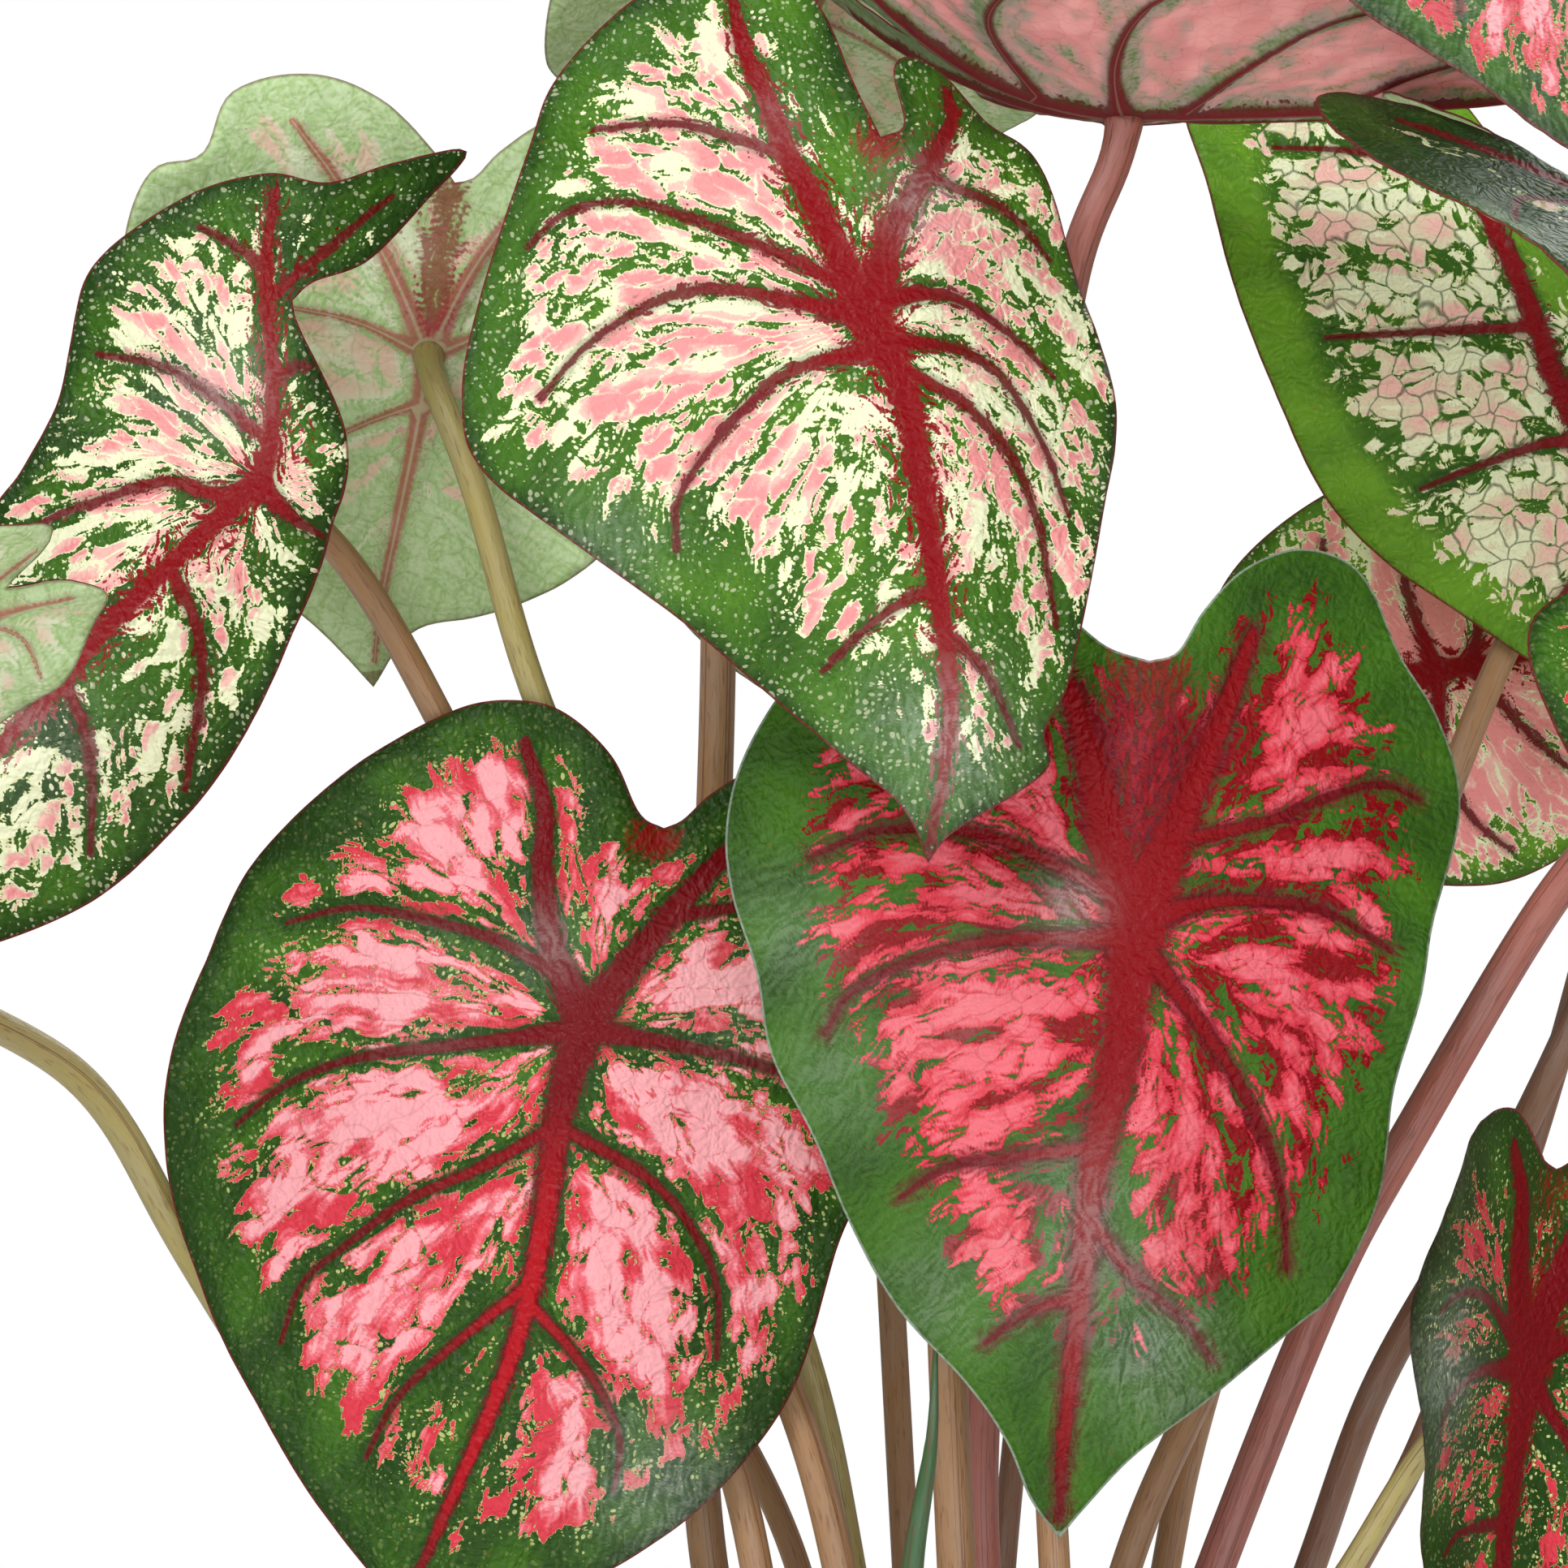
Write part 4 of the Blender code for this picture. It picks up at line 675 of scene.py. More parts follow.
class CALADIUM_PG_blades(bpy.types.PropertyGroup):
    thickness: length("Thickness", "From a blade's upper face to its underside", 0.75)
    rib_depth: length("Rib depth", "How far the panels between the ribs stand up", 1.6)
    rib_spread: length("Rib spread", "How far from a rib its panel has risen", 5)
    wave_reach: length("Wave reach", "How far in from the margin the waves go", 13)
    fold_rounding: length("Fold rounding", "How softly the two halves meet at the midrib", 9)
    midrib: length("Midrib", "Half the midrib's width at the stalk", 2.7)
    lobe_rib: length("Lobe rib", "Half the width of the ribs that start at the stalk", 1.9)
    side_rib: length("Side rib", "Half the width of the ribs that branch off", 1.1)
    crinkle: length("Crinkle", "The height of the small puckers between the ribs", 0.45)
    translucence: share("Translucence", "How much light comes through a blade", 0.16)


class CALADIUM_PG_colours(bpy.types.PropertyGroup):
    # Dark green is also where the ground goes as painted shade on a blade that lies in shadow
    dark_green: colour("Dark green", "The ground beside the ribs", 34, 64, 16)
    green: colour("Green", "The ground of the borders", 62, 106, 24)
    # Painted light: the bright green stands for light that comes through a blade lit from behind
    backlit_green: colour("Bright green", "The ground where the blade is thin", 110, 160, 38)
    cream: colour("Cream", "The pale paint", 234, 236, 198)
    beige: colour("Beige", "The duller cream of a thin blade", 226, 216, 182)
    lime: colour("Lime", "The specks and the rim of a patch", 206, 214, 138)
    blush: colour("Blush", "Where cream turns pink", 242, 190, 178)
    rose: colour("Rose", "The middle of a pink patch in cream", 236, 148, 148)
    coral: colour("Coral", "The outer part of a pink panel", 212, 62, 74)
    deep_pink: colour("Deep pink", "The outer part of a pink panel's middle", 226, 104, 116)
    pale_pink: colour("Pale pink", "The middle of a pink panel", 241, 166, 172)
    red: colour("Red", "The panels of a red blade", 208, 54, 70)
    deep_red: colour("Deep red", "The edges of a red panel", 164, 26, 42)
    wine: colour("Wine", "The dark ground beside a red blade's ribs", 92, 14, 28)
    rib: colour("Rib", "The middle of a thick rib", 132, 2, 12)
    dark_rib: colour("Dark rib", "A pink blade's ribs at the hub", 112, 6, 16)
    bright_rib: colour("Bright rib", "A pink blade's midrib towards the tip", 172, 10, 24)
    rib_edge: colour("Rib edge", "The thin ribs and the edges of the thick ones", 98, 2, 14)
    margin: colour("Margin", "The hairline along a blade's margin", 112, 34, 42)
    # Painted highlight: the pale sheen of light on the glossy upper face, and the pale line where a red
    # blade's margin catches the light
    painted_sheen: colour("Sheen", "The pale shine on the upper face", 214, 220, 214)
    underside: colour("Underside", "The grey-green underside", 164, 196, 126)
    underside_pale: colour("Pale underside", "The paler parts of an underside", 204, 224, 178)
    underside_cream: colour("Underside cream", "The cream of an underside", 236, 238, 214)
    underside_pink: colour("Underside pink", "The pink of an underside", 252, 190, 186)
    underside_rosy: colour("Rosy underside", "The ground of a pink underside", 255, 226, 220)
    underside_rib: colour("Underside rib", "The ribs of an underside", 178, 62, 72)


class CALADIUM_PG_stalks(bpy.types.PropertyGroup):
    step: length("Step", "The spacing of a stalk's rings", 3)
    sides: IntProperty(name="Sides", description="The sides of a stalk's rings", default=20, min=8)
    tan: colour("Tan", "A tan stalk", 150, 110, 70)
    rosy: colour("Rosy", "A reddish stalk", 152, 84, 72)
    olive: colour("Olive", "An olive stalk", 154, 140, 80)
    brown: colour("Brown", "A dark stalk", 118, 80, 56)
    streak: colour("Streak", "The fine streaks of every stalk", 92, 50, 34)
    new_leaf: colour("New leaf", "The rolled new leaf", 44, 84, 40)


class CALADIUM_PG_pot(bpy.types.PropertyGroup):
    height: length("Height", "The pot's height", 140)
    top_radius: length("Top radius", "The radius of the rim", 82)
    foot_radius: length("Foot radius", "The radius of the underside", 60)
    wall: length("Wall", "The thickness of the wall", 5)
    floor: length("Floor", "The thickness of the floor", 6)
    rim_height: length("Rim height", "The height of the rim band", 24)
    rim_step: length("Rim step", "How far the rim band stands out", 3.5)
    drain_radius: length("Drain radius", "The radius of a drain hole", 5)
    drain_circle: length("Drain circle", "How far the drain holes are from the middle", 32)
    sides: IntProperty(name="Sides", description="The sides of the turned pot", default=144, min=24)
    soil_level: length("Soil level", "The level of the soil at the wall", 126)
    soil_crown: length("Soil crown", "How far the soil rises in the middle", 3)
    crumbs: IntProperty(name="Crumbs", description="The loose crumbs on the soil", default=900, min=0)
    clay: colour("Clay", "The fired clay", 176, 98, 66)
    clay_dark: colour("Dark clay", "The darker flecks in the clay", 142, 72, 48)
    bloom: colour("Bloom", "The pale salts on the clay", 214, 176, 150)
    soil: colour("Soil", "The damp soil", 58, 40, 28)
    soil_light: colour("Light soil", "The dry crumbs and fibres", 112, 82, 56)
    tuber: colour("Tuber", "The skin of the tuber", 112, 78, 54)


class CALADIUM_PG_stage(bpy.types.PropertyGroup):
    floor_radius: length("Floor radius", "The radius of the floor", 1100)
    floor: colour("Floor", "The pale floor", 236, 236, 234)
    key_power: power("Key light", "The power of the key light", 25)
    fill_power: power("Fill light", "The power of the fill light", 7)
    back_power: power("Back light", "The power of the light from behind", 16)
    low_power: power("Low light", "The power of the light from low in front", 12)
    surround: FloatProperty(name="Surround", description="The strength of the light from all round",
                            default=0.42, min=0)


class Graph:
    """Adds shader nodes to a tree and links them."""

    def __init__(self, tree):
        self.tree = tree

    def put(self, socket, value):
        """Link a socket to another one, or set its value."""
        if isinstance(value, bpy.types.NodeSocket):
            self.tree.links.new(value, socket)
        elif socket.type == "RGBA" and len(value) == 3:
            socket.default_value = (*value, 1)
        else:
            socket.default_value = value

    def node(self, kind, inputs=None, **settings):
        """Add a node with its settings and inputs."""
        made = self.tree.nodes.new("ShaderNode" + kind)
        for name, value in settings.items():
            setattr(made, name, value)
        for socket, value in (inputs or {}).items():
            self.put(made.inputs[socket], value)
        return made

    def math(self, operation, first, second=0.0):
        """Join two numbers."""
        return self.node("Math", {0: first, 1: second}, operation=operation).outputs[0]

    def add(self, *values):
        """Add numbers up."""
        total = values[0]
        for value in values[1:]:
            total = self.math("ADD", total, value)
        return total

    def times(self, *values):
        """Multiply numbers."""
        total = values[0]
        for value in values[1:]:
            total = self.math("MULTIPLY", total, value)
        return total

    def stretch(self, place, factors):
        """Scale a place by a factor of its own along each axis."""
        return self.node("VectorMath", {0: place, 1: factors}, operation="MULTIPLY").outputs[0]

    def object_place(self):
        """Give the place on the object in metres."""
        return self.node("TexCoord").outputs["Object"]

    def mix(self, amount, first, second):
        """Mix two colours."""
        return self.node("Mix", {0: amount, 6: first, 7: second}, data_type="RGBA").outputs[2]

    def smooth(self, value, low, high):
        """Give 0 at low, 1 at high and a smooth rise between."""
        return self.node("MapRange", {0: value, 1: low, 2: high}, interpolation_type="SMOOTHSTEP").outputs[0]

    def noise(self, place, scale, detail=2.0, space="3D"):
        """Give a noise from -1 to 1."""
        made = self.node("TexNoise", {"Vector": place}, noise_dimensions=space)
        made.inputs["Detail"].default_value = detail
        self.put(made.inputs["Scale"], scale)
        return self.math("MULTIPLY", self.math("SUBTRACT", made.outputs[0], 0.5), NOISE_CONTRAST)

    def cells(self, place, scale, feature):
        """Give the outputs of a flat pattern of cells."""
        inputs = {"Vector": place, "Scale": scale}
        return self.node("TexVoronoi", inputs, voronoi_dimensions="2D", feature=feature).outputs

    def attribute(self, name):
        """Give a mesh attribute as a place."""
        return self.node("Attribute", attribute_name=name).outputs["Vector"]

    def split(self, place):
        """Split a place into its three numbers."""
        return self.node("SeparateXYZ", {0: place}).outputs[:]

    def use(self, name, inputs):
        """Place a node group."""
        made = self.node("Group", node_tree=bpy.data.node_groups[name])
        for socket, value in inputs.items():
            self.put(made.inputs[socket], value)
        return made.outputs

    def bump(self, surface, height, strength, distance):
        """Give a surface a relief."""
        made = self.node("Bump", {"Strength": strength, "Distance": distance, "Height": height})
        self.put(surface.inputs["Normal"], made.outputs[0])

    def ramp(self, value, stops):
        """Give a colour along a ramp of (place, colour)."""
        made = self.node("ValToRGB", {0: value})
        made.color_ramp.interpolation = "EASE"
        made.color_ramp.elements[0].position = stops[0][0]
        made.color_ramp.elements[0].color = (*stops[0][1], 1)
        made.color_ramp.elements[1].position = stops[-1][0]
        made.color_ramp.elements[1].color = (*stops[-1][1], 1)
        for place, shade in stops[1:-1]:
            made.color_ramp.elements.new(place).color = (*shade, 1)
        return made.outputs[0]


def new_group(name, places, numbers, outputs):
    """Start a node group with named places and numbers as inputs, and numbers as outputs."""
    tree = bpy.data.node_groups.new(name, "ShaderNodeTree")
    for label in places:
        tree.interface.new_socket(label, in_out="INPUT", socket_type="NodeSocketVector")
    for label in numbers:
        tree.interface.new_socket(label, in_out="INPUT", socket_type="NodeSocketFloat")
    for label in outputs:
        tree.interface.new_socket(label, in_out="OUTPUT", socket_type="NodeSocketFloat")
    return Graph(tree), tree.nodes.new("NodeGroupInput").outputs, tree.nodes.new("NodeGroupOutput").inputs


def build_groups():
    """Build the effects that several materials share: streaks, patches of cells, and specks."""
    places, numbers = ["Place", "Flow"], ["Scale", "Length"]
    graph, inputs, outputs = new_group("caladium_streaks", places, numbers, ["Streaks"])
    parts = []
    for step in (-1.0, 0.0, 1.0):
        shift = {0: inputs["Flow"], 1: graph.times(inputs["Length"], step), 2: inputs["Place"]}
        place = graph.node("VectorMath", shift, operation="MULTIPLY_ADD").outputs[0]
        parts.append(graph.noise(place, inputs["Scale"], 1.0, "2D"))
    graph.put(outputs["Streaks"], graph.times(graph.add(*parts), STREAK_CONTRAST))

    graph, inputs, outputs = new_group("caladium_cells", ["Place"], ["Scale", "Width"], ["Islands", "Lines"])
    rims = graph.cells(inputs["Place"], inputs["Scale"], "DISTANCE_TO_EDGE")["Distance"]
    chance = graph.split(graph.cells(inputs["Place"], inputs["Scale"], "F1")["Color"])[0]
    level = graph.math("SUBTRACT", chance, 0.5)
    inside = graph.math("SUBTRACT", graph.math("MINIMUM", rims, CELL_SLOPE), CELL_SLOPE / 2)
    graph.put(outputs["Islands"], graph.add(graph.times(level, 0.9), graph.times(inside, 2.0)))
    graph.put(outputs["Lines"], graph.smooth(rims, inputs["Width"], 0.0))

    graph, inputs, outputs = new_group("caladium_specks", ["Place"], ["Scale", "Size"], ["Specks"])
    dots = graph.cells(inputs["Place"], inputs["Scale"], "F1")
    pick = graph.split(dots["Color"])[0]
    size = graph.times(pick, pick, inputs["Size"])
    inside = graph.math("SUBTRACT", size, dots["Distance"])
    graph.put(outputs["Specks"], graph.smooth(inside, 0.0, SPECK_BLUR))


def new_material(name):
    """Start a material and give it with its graph and its Principled BSDF."""
    made = bpy.data.materials.new(name)
    made.use_nodes = True
    return made, Graph(made.node_tree), made.node_tree.nodes["Principled BSDF"]


def see_through(graph, surface, shade, amount):
    """Let some light come through a thin surface."""
    glow = graph.node("BsdfTranslucent", {"Color": shade})
    both = graph.node("MixShader", {0: amount})
    graph.put(both.inputs[1], surface.outputs[0])
    graph.put(both.inputs[2], glow.outputs[0])
    output = next(node for node in graph.tree.nodes if node.type == "OUTPUT_MATERIAL")
    graph.put(output.inputs["Surface"], both.outputs[0])


def panel_stops(name, colours):
    """Give the colours of a patch from its edge to its middle."""
    return [(place, getattr(colours, shade)) for place, shade in PANEL_STOPS[name]]


def blade_masks(graph, colouring):
    """Give what a blade's mesh holds for each point, with its streaks, its cells and its cover of paint."""
    at = SimpleNamespace(place=graph.attribute("plane"), flow=graph.attribute("flow"))
    at.rib_gap, at.rib_half, at.feather = graph.split(graph.attribute("ribs"))
    at.edge, at.ground, _ = graph.split(graph.attribute("place"))
    at.paint, at.blush, at.painted_sheen = graph.split(graph.attribute("tone"))
    streaks = {"Place": at.place, "Flow": at.flow, "Scale": 9.0, "Length": 0.08}
    at.fine = graph.use("caladium_streaks", streaks)[0]
    cells = {"Place": graph.attribute("patches"), "Scale": colouring["cells"], "Width": colouring["crack"]}
    at.islands, at.lines = graph.use("caladium_cells", cells)
    broken = graph.times(at.islands, colouring["islands"])
    at.cover = graph.add(at.paint, broken, graph.times(at.fine, colouring["fine"]))
    return at


def ground_shade(graph, name, colouring, colours, at):
    """Give the green of a blade's upper face, with its border and specks."""
    # The ground's lightness is partly the blade's own green and partly painted light: a painted glow on
    # back-lit blades and painted shade on shaded ones
    light = graph.add(at.ground, graph.times(at.fine, 0.1))
    # Painted light: the mosaic blade's green stays bright along its back-lit border and darkens inwards as
    # painted shade
    if name == "mosaic":
        light = graph.add(light, graph.times(graph.smooth(at.edge, *PAINTED_SHADE_INSIDE), -0.5))
    elif name != "red":
        light = graph.add(light, graph.times(graph.smooth(at.edge, *DARK_BORDER), -0.35))
    shade = graph.mix(graph.smooth(light, *DARK_TO_GREEN), colours.dark_green, colours.green)
    shade = graph.mix(graph.smooth(light, *GREEN_TO_BRIGHT), shade, colours.backlit_green)
    if name == "red":
        return shade
    specks = graph.use("caladium_specks", {"Place": at.place, "Scale": 8.0, "Size": 0.45})[0]
    near = graph.smooth(graph.add(at.paint, graph.times(at.fine, 0.4)), *SPECKED)
    near = graph.math("MAXIMUM", near, 0.35 if name == "pale" else 0.15)
    dots = graph.times(specks, near, colouring["specks"])
    return graph.mix(dots, shade, colours.cream if name == "pale" else colours.lime)


def panel_shade(graph, name, colouring, colours, at):
    """Give the colours of a blade's painted patches, with their rims and the fine net on them."""
    pale = name in ("pale", "mosaic")
    inside = at.blush if pale else graph.add(at.blush, graph.times(at.paint, 0.5))
    broken = graph.times(at.islands, 0.12 if pale else 0.35)
    soft = graph.add(inside, broken, graph.times(at.fine, 0.12 if pale else 0.25))
    depth = graph.math("MINIMUM", graph.math("SUBTRACT", at.cover, colouring["rim"]), soft)
    if name == "pale":
        depth = graph.add(depth, graph.times(at.lines, graph.add(0.5, at.fine), -0.5))
    panel = graph.ramp(graph.times(depth, 0.6), panel_stops(name, colours))
    if name != "red":
        panel = graph.mix(graph.smooth(at.cover, *(PALE_RIM if pale else PINK_RIM)), panel, colours.lime)
    fine_lines = graph.smooth(graph.math("ABSOLUTE", at.fine), *FINE_LINE)
    depth_of_net = {"mosaic": 0.8, "pale": 0.0}.get(name, 0.4)
    net = graph.add(graph.times(at.lines, depth_of_net), graph.times(fine_lines, 0.25))
    shade_of_net = colours.dark_green if pale else colours.rib
    return graph.mix(graph.times(net, 0.6 * colouring["net"]), panel, shade_of_net)


def with_ribs(graph, name, colours, at, shade):
    """Lay a blade's frayed ribs over its other colours."""
    spikes = graph.times(at.feather, graph.math("MAXIMUM", graph.add(graph.times(at.fine, 2.4), 0.3), 0.0))
    reach = graph.math("SUBTRACT", at.rib_gap, spikes)
    strands = graph.mix(graph.smooth(at.feather, *STRAND_SHADE), colours.rib_edge, colours.rib)
    shade = graph.mix(graph.times(graph.smooth(reach, *STRAND_EDGE), 0.92), shade, strands)
    bright = graph.add(graph.times(spikes, -0.5), at.rib_gap)
    core = graph.times(graph.smooth(graph.math("DIVIDE", bright, at.rib_half), *RIB_CORE),
                       graph.smooth(at.rib_half, *THICK_ENOUGH))
    shade_of_core = colours.dark_rib if name == "dark" else colours.rib
    if name == "pink":
        towards_tip = graph.smooth(graph.split(at.place)[1], *BRIGHT_MIDRIB)
        shade_of_core = graph.mix(towards_tip, colours.dark_rib, colours.bright_rib)
    return graph.mix(core, shade, shade_of_core)


def upper_material(name, colouring, colours, translucence):
    """Make a blade's upper face: green ground, painted panels, ribs and margin, with a painted sheen."""
    made, graph, surface = new_material("blade_" + name + "_upper")
    red = name == "red"
    at = blade_masks(graph, colouring)
    ground = ground_shade(graph, name, colouring, colours, at)
    panel = panel_shade(graph, name, colouring, colours, at)
    shade = graph.mix(graph.smooth(at.cover, *PATCH_EDGE), ground, panel)
    strength, width = colouring["flank"]
    flank = graph.smooth(graph.add(at.rib_gap, graph.times(at.fine, 1.2)), 0.75 * width, 0.0)
    beside = graph.times(flank, min(0.95, 0.25 + 0.5 * strength))
    shade = graph.mix(beside, shade, colours.wine if red else colours.dark_green)
    stained = graph.smooth(graph.add(graph.split(at.flow)[2], graph.times(at.fine, 0.35)), *STAINED)
    crimson = graph.mix(graph.smooth(at.fine, -0.5, 0.5), colours.wine, colours.rib) if red else colours.rib
    shade = graph.mix(graph.times(stained, 0.9), shade, crimson)
    shade = with_ribs(graph, name, colours, at, shade)
    # The margin: a dark red hairline in the blade's own colour, but on a red blade a pale painted highlight
    # where its edge catches the light
    rim = graph.times(graph.smooth(at.edge, *MARGIN_LINE), 0.35 if red else 0.85)
    shade = graph.mix(rim, shade, colours.painted_sheen if red else colours.margin)
    # Painted sheen: pale highlights mixed in over the shining spots, broken up into clouds
    cloud = graph.smooth(graph.add(at.islands, at.fine), *PAINTED_SHEEN_CLOUD)
    shade = graph.mix(graph.times(at.painted_sheen, graph.add(graph.times(cloud, 0.6), 0.3)), shade, colours.painted_sheen)
    graph.put(surface.inputs["Base Color"], shade)
    graph.put(surface.inputs["Roughness"], graph.add(0.44, graph.times(at.fine, 0.05)))
    surface.inputs["Specular IOR Level"].default_value = 0.16
    graph.bump(surface, graph.noise(at.place, 6.0, 1.0, "2D"), 0.55, 0.45 * MM)
    see_through(graph, surface, shade, translucence)
    return made


def lower_material(name, colours, translucence):
    """Make a blade's underside: a pale or pink ground with dusky raised ribs."""
    made, graph, surface = new_material("blade_" + name + "_under")
    rosy = name == "rose"
    place = graph.attribute("plane")
    flow = graph.attribute("flow")
    rib_gap, rib_half, feather = graph.split(graph.attribute("ribs"))
    edge = graph.split(graph.attribute("place"))[0]
    paint, blush, _ = graph.split(graph.attribute("tone"))
    fine = graph.use("caladium_streaks", {"Place": place, "Flow": flow, "Scale": 8.0, "Length": 0.15})[0]
    islands, lines = graph.use("caladium_cells", {"Place": place, "Scale": 2.2, "Width": 0.08})
    cover = graph.add(paint, graph.times(islands, 0.5), graph.times(fine, 0.5))
    patch = graph.smooth(cover, *(ROSY_PATCH if rosy else UNDER_PATCH))
    cloud = graph.smooth(graph.add(fine, islands), *UNDER_CLOUD)
    base = graph.mix(cloud, colours.underside, colours.underside_pale)
    warm = graph.mix(graph.smooth(blush, *UNDER_WARMTH), colours.underside_cream, colours.underside_pink)
    paler = colours.underside_rosy if rosy else warm
    shade = graph.mix(graph.times(patch, 1.0 if rosy else 0.6), base, paler)
    shade = graph.mix(graph.times(lines, 0.12), shade, colours.coral if rosy else colours.green)
    stained = graph.smooth(graph.add(graph.split(flow)[2], graph.times(fine, 0.35)), *STAINED)
    shade = graph.mix(graph.times(stained, 0.8), shade, colours.rib)
    spikes = graph.times(feather, graph.math("MAXIMUM", graph.add(graph.times(fine, 1.6), 0.2), 0.0))
    halo = graph.math("SUBTRACT", graph.add(rib_gap, graph.times(rib_half, 0.0 if rosy else 0.45)), spikes)
    shade = graph.mix(graph.times(graph.smooth(halo, *HALO), 0.85 if rosy else 0.3), shade, colours.rib)
    frayed = graph.add(rib_gap, graph.times(fine, 0.3))
    core = graph.smooth(graph.math("DIVIDE", frayed, rib_half), *UNDER_CORE)
    ridge = graph.smooth(graph.math("DIVIDE", rib_gap, rib_half), *RIDGE)
    shade = graph.mix(graph.times(core, 0.9 if rosy else 0.65), shade, colours.underside_rib)
    shade = graph.mix(graph.times(ridge, 0.4), shade, colours.underside_pale)
    shade = graph.mix(graph.times(graph.smooth(edge, *UNDER_MARGIN), 0.5), shade, colours.margin)
    graph.put(surface.inputs["Base Color"], shade)
    surface.inputs["Roughness"].default_value = 0.55
    surface.inputs["Specular IOR Level"].default_value = 0.14
    graph.bump(surface, graph.noise(place, 6.0, 1.0, "2D"), 0.4, 0.3 * MM)
    see_through(graph, surface, shade, translucence * (ROSY_GLOW if rosy else GREY_GLOW))
    return made


def distances(path):
    """Give how far along a path each of its points is."""
    return np.concatenate([[0], np.cumsum(np.linalg.norm(np.diff(path, axis=0), axis=1))])


def smooth_path(points, step):
    """Give points about a step apart on a smooth curve through the given ones."""
    points = np.asarray(points, float)
    padded = np.vstack([2 * points[0] - points[1], points, 2 * points[-1] - points[-2]])
    t = np.linspace(0, 1, SPAN_POINTS, endpoint=False)[:, None]
    found = []
    for before, start, end, after in zip(padded, padded[1:], padded[2:], padded[3:]):
        square = 2 * before - 5 * start + 4 * end - after
        cube = 3 * start - before - 3 * end + after
        found.append(0.5 * (2 * start + (end - before) * t + square * t**2 + cube * t**3))
    dense = np.vstack(found + [points[-1:]])
    along = distances(dense)
    count = max(2, int(round(along[-1] / step)) + 1)
    wanted = np.linspace(0, along[-1], count)
    return np.stack([np.interp(wanted, along, column) for column in dense.T], axis=1)


def nearest(points, path):
    """Give each point's distance to a path, the share along it and the path's direction there."""
    start_x, start_y = path[:-1].T.copy()
    runs = path[1:] - path[:-1]
    run_x, run_y = runs.T.copy()
    squares = np.maximum(run_x * run_x + run_y * run_y, SHORTEST_RUN)
    found = []
    for first in range(0, len(points), BLOCK_POINTS):
        some = points[first:first + BLOCK_POINTS]
        x = some[:, :1] - start_x
        y = some[:, 1:] - start_y
        shares = np.clip((x * run_x + y * run_y) / squares, 0, 1)
        away = np.sqrt((x - shares * run_x) ** 2 + (y - shares * run_y) ** 2)
        pick = away.argmin(axis=1)
        rows = np.arange(len(some))
        found.append(np.column_stack([away[rows, pick], pick, shares[rows, pick]]))
    away, pick, shares = np.vstack(found).T
    heading = runs[pick.astype(int)]
    return away, (pick + shares) / len(runs), heading / np.linalg.norm(heading, axis=1)[:, None]


def blade_lines(leaf, step):
    """Give a blade's margin, midrib and other ribs as smooth paths in metres."""
    scale = leaf["size"] * MM
    shape = leaf["shape"]
    right = smooth_path(shape["right"], step / scale)
    left = smooth_path(shape["left"], step / scale)
    margin = np.vstack([right[:-1], left[:-1]]) * scale
    midrib = smooth_path(shape["midrib"], step / scale) * scale
    ribs = [smooth_path(path, step / scale) * scale for path in shape["ribs"]]
    return margin, midrib, ribs


def blade_height(points, leaf, edge, rib, midrib, sizes):
    """Give the height of a blade over its plane: its fold, bow, ribs and waved edge."""
    left_slope, right_slope = (math.tan(math.radians(angle)) for angle in leaf["fold"])
    tip_bow, lobe_bow = (value * MM for value in leaf["bow"])
    wave, count, phase = leaf["wave"]
    scale = leaf["size"] * MM
    order = np.argsort(midrib[:, 1])
    side = points[:, 0] - np.interp(points[:, 1], midrib[order, 1], midrib[order, 0])
    slope = np.where(side > 0, right_slope, left_slope)
    fold = slope * (np.sqrt(side**2 + sizes.fold_rounding**2) - sizes.fold_rounding)
    middle = np.hypot(points[:, 0], points[:, 1])
    level = 1 - np.exp(-((middle / PAD_REACH) ** 2))
    below = points[:, 1] < 0
    reach = np.where(below, -points[:, 1] / (TIP_REACH * scale), points[:, 1] / (LOBE_REACH * scale))
    bow = np.where(below, tip_bow, lobe_bow) * reach**2
    angle = np.arctan2(points[:, 0], -points[:, 1])
    waves = wave * MM * np.sin(count * angle + math.radians(phase)) * np.exp(-edge / sizes.wave_reach)
    waves = waves * np.clip(middle / (WAVE_START * scale), 0, 1) ** 2
    quilt = sizes.rib_depth * (1 - np.exp(-rib / sizes.rib_spread))
    return level * (fold + quilt) + bow + waves


def blade_sheet(margin, lines, step):
    """Give the flat points and triangles of a sheet that follows a margin and its ribs."""
    corners = [Vector(point) for point in margin]
    rim = list(range(len(corners)))
    edges = []
    closed = np.vstack([margin, margin[:1]])
    for path in lines:
        inside = path[nearest(path, closed)[0] > RIB_CLEARANCE * step]
        first = len(corners)
        corners += [Vector(point) for point in inside]
        edges += [(i, i + 1) for i in range(first, len(corners) - 1)]
    low, high = margin.min(axis=0), margin.max(axis=0)
    spots = []
    for row, y in enumerate(np.arange(low[1], high[1], step * math.sqrt(3) / 2)):
        xs = np.arange(low[0] + (row % 2) * step / 2, high[0], step)
        spots.append(np.column_stack([xs, np.full(len(xs), y)]))
    spots = np.vstack(spots)
    for path in [closed] + lines:
        spots = spots[nearest(spots, path)[0] > POINT_CLEARANCE * step]
    corners += [Vector(point) for point in spots]
    found = delaunay_2d_cdt(corners, edges, [rim], 1, MERGE_DISTANCE)
    used = sorted({corner for face in found[2] for corner in face})
    order = {corner: place for place, corner in enumerate(used)}
    points = np.array([tuple(found[0][corner]) for corner in used])
    return points, [[order[corner] for corner in face] for face in found[2]]


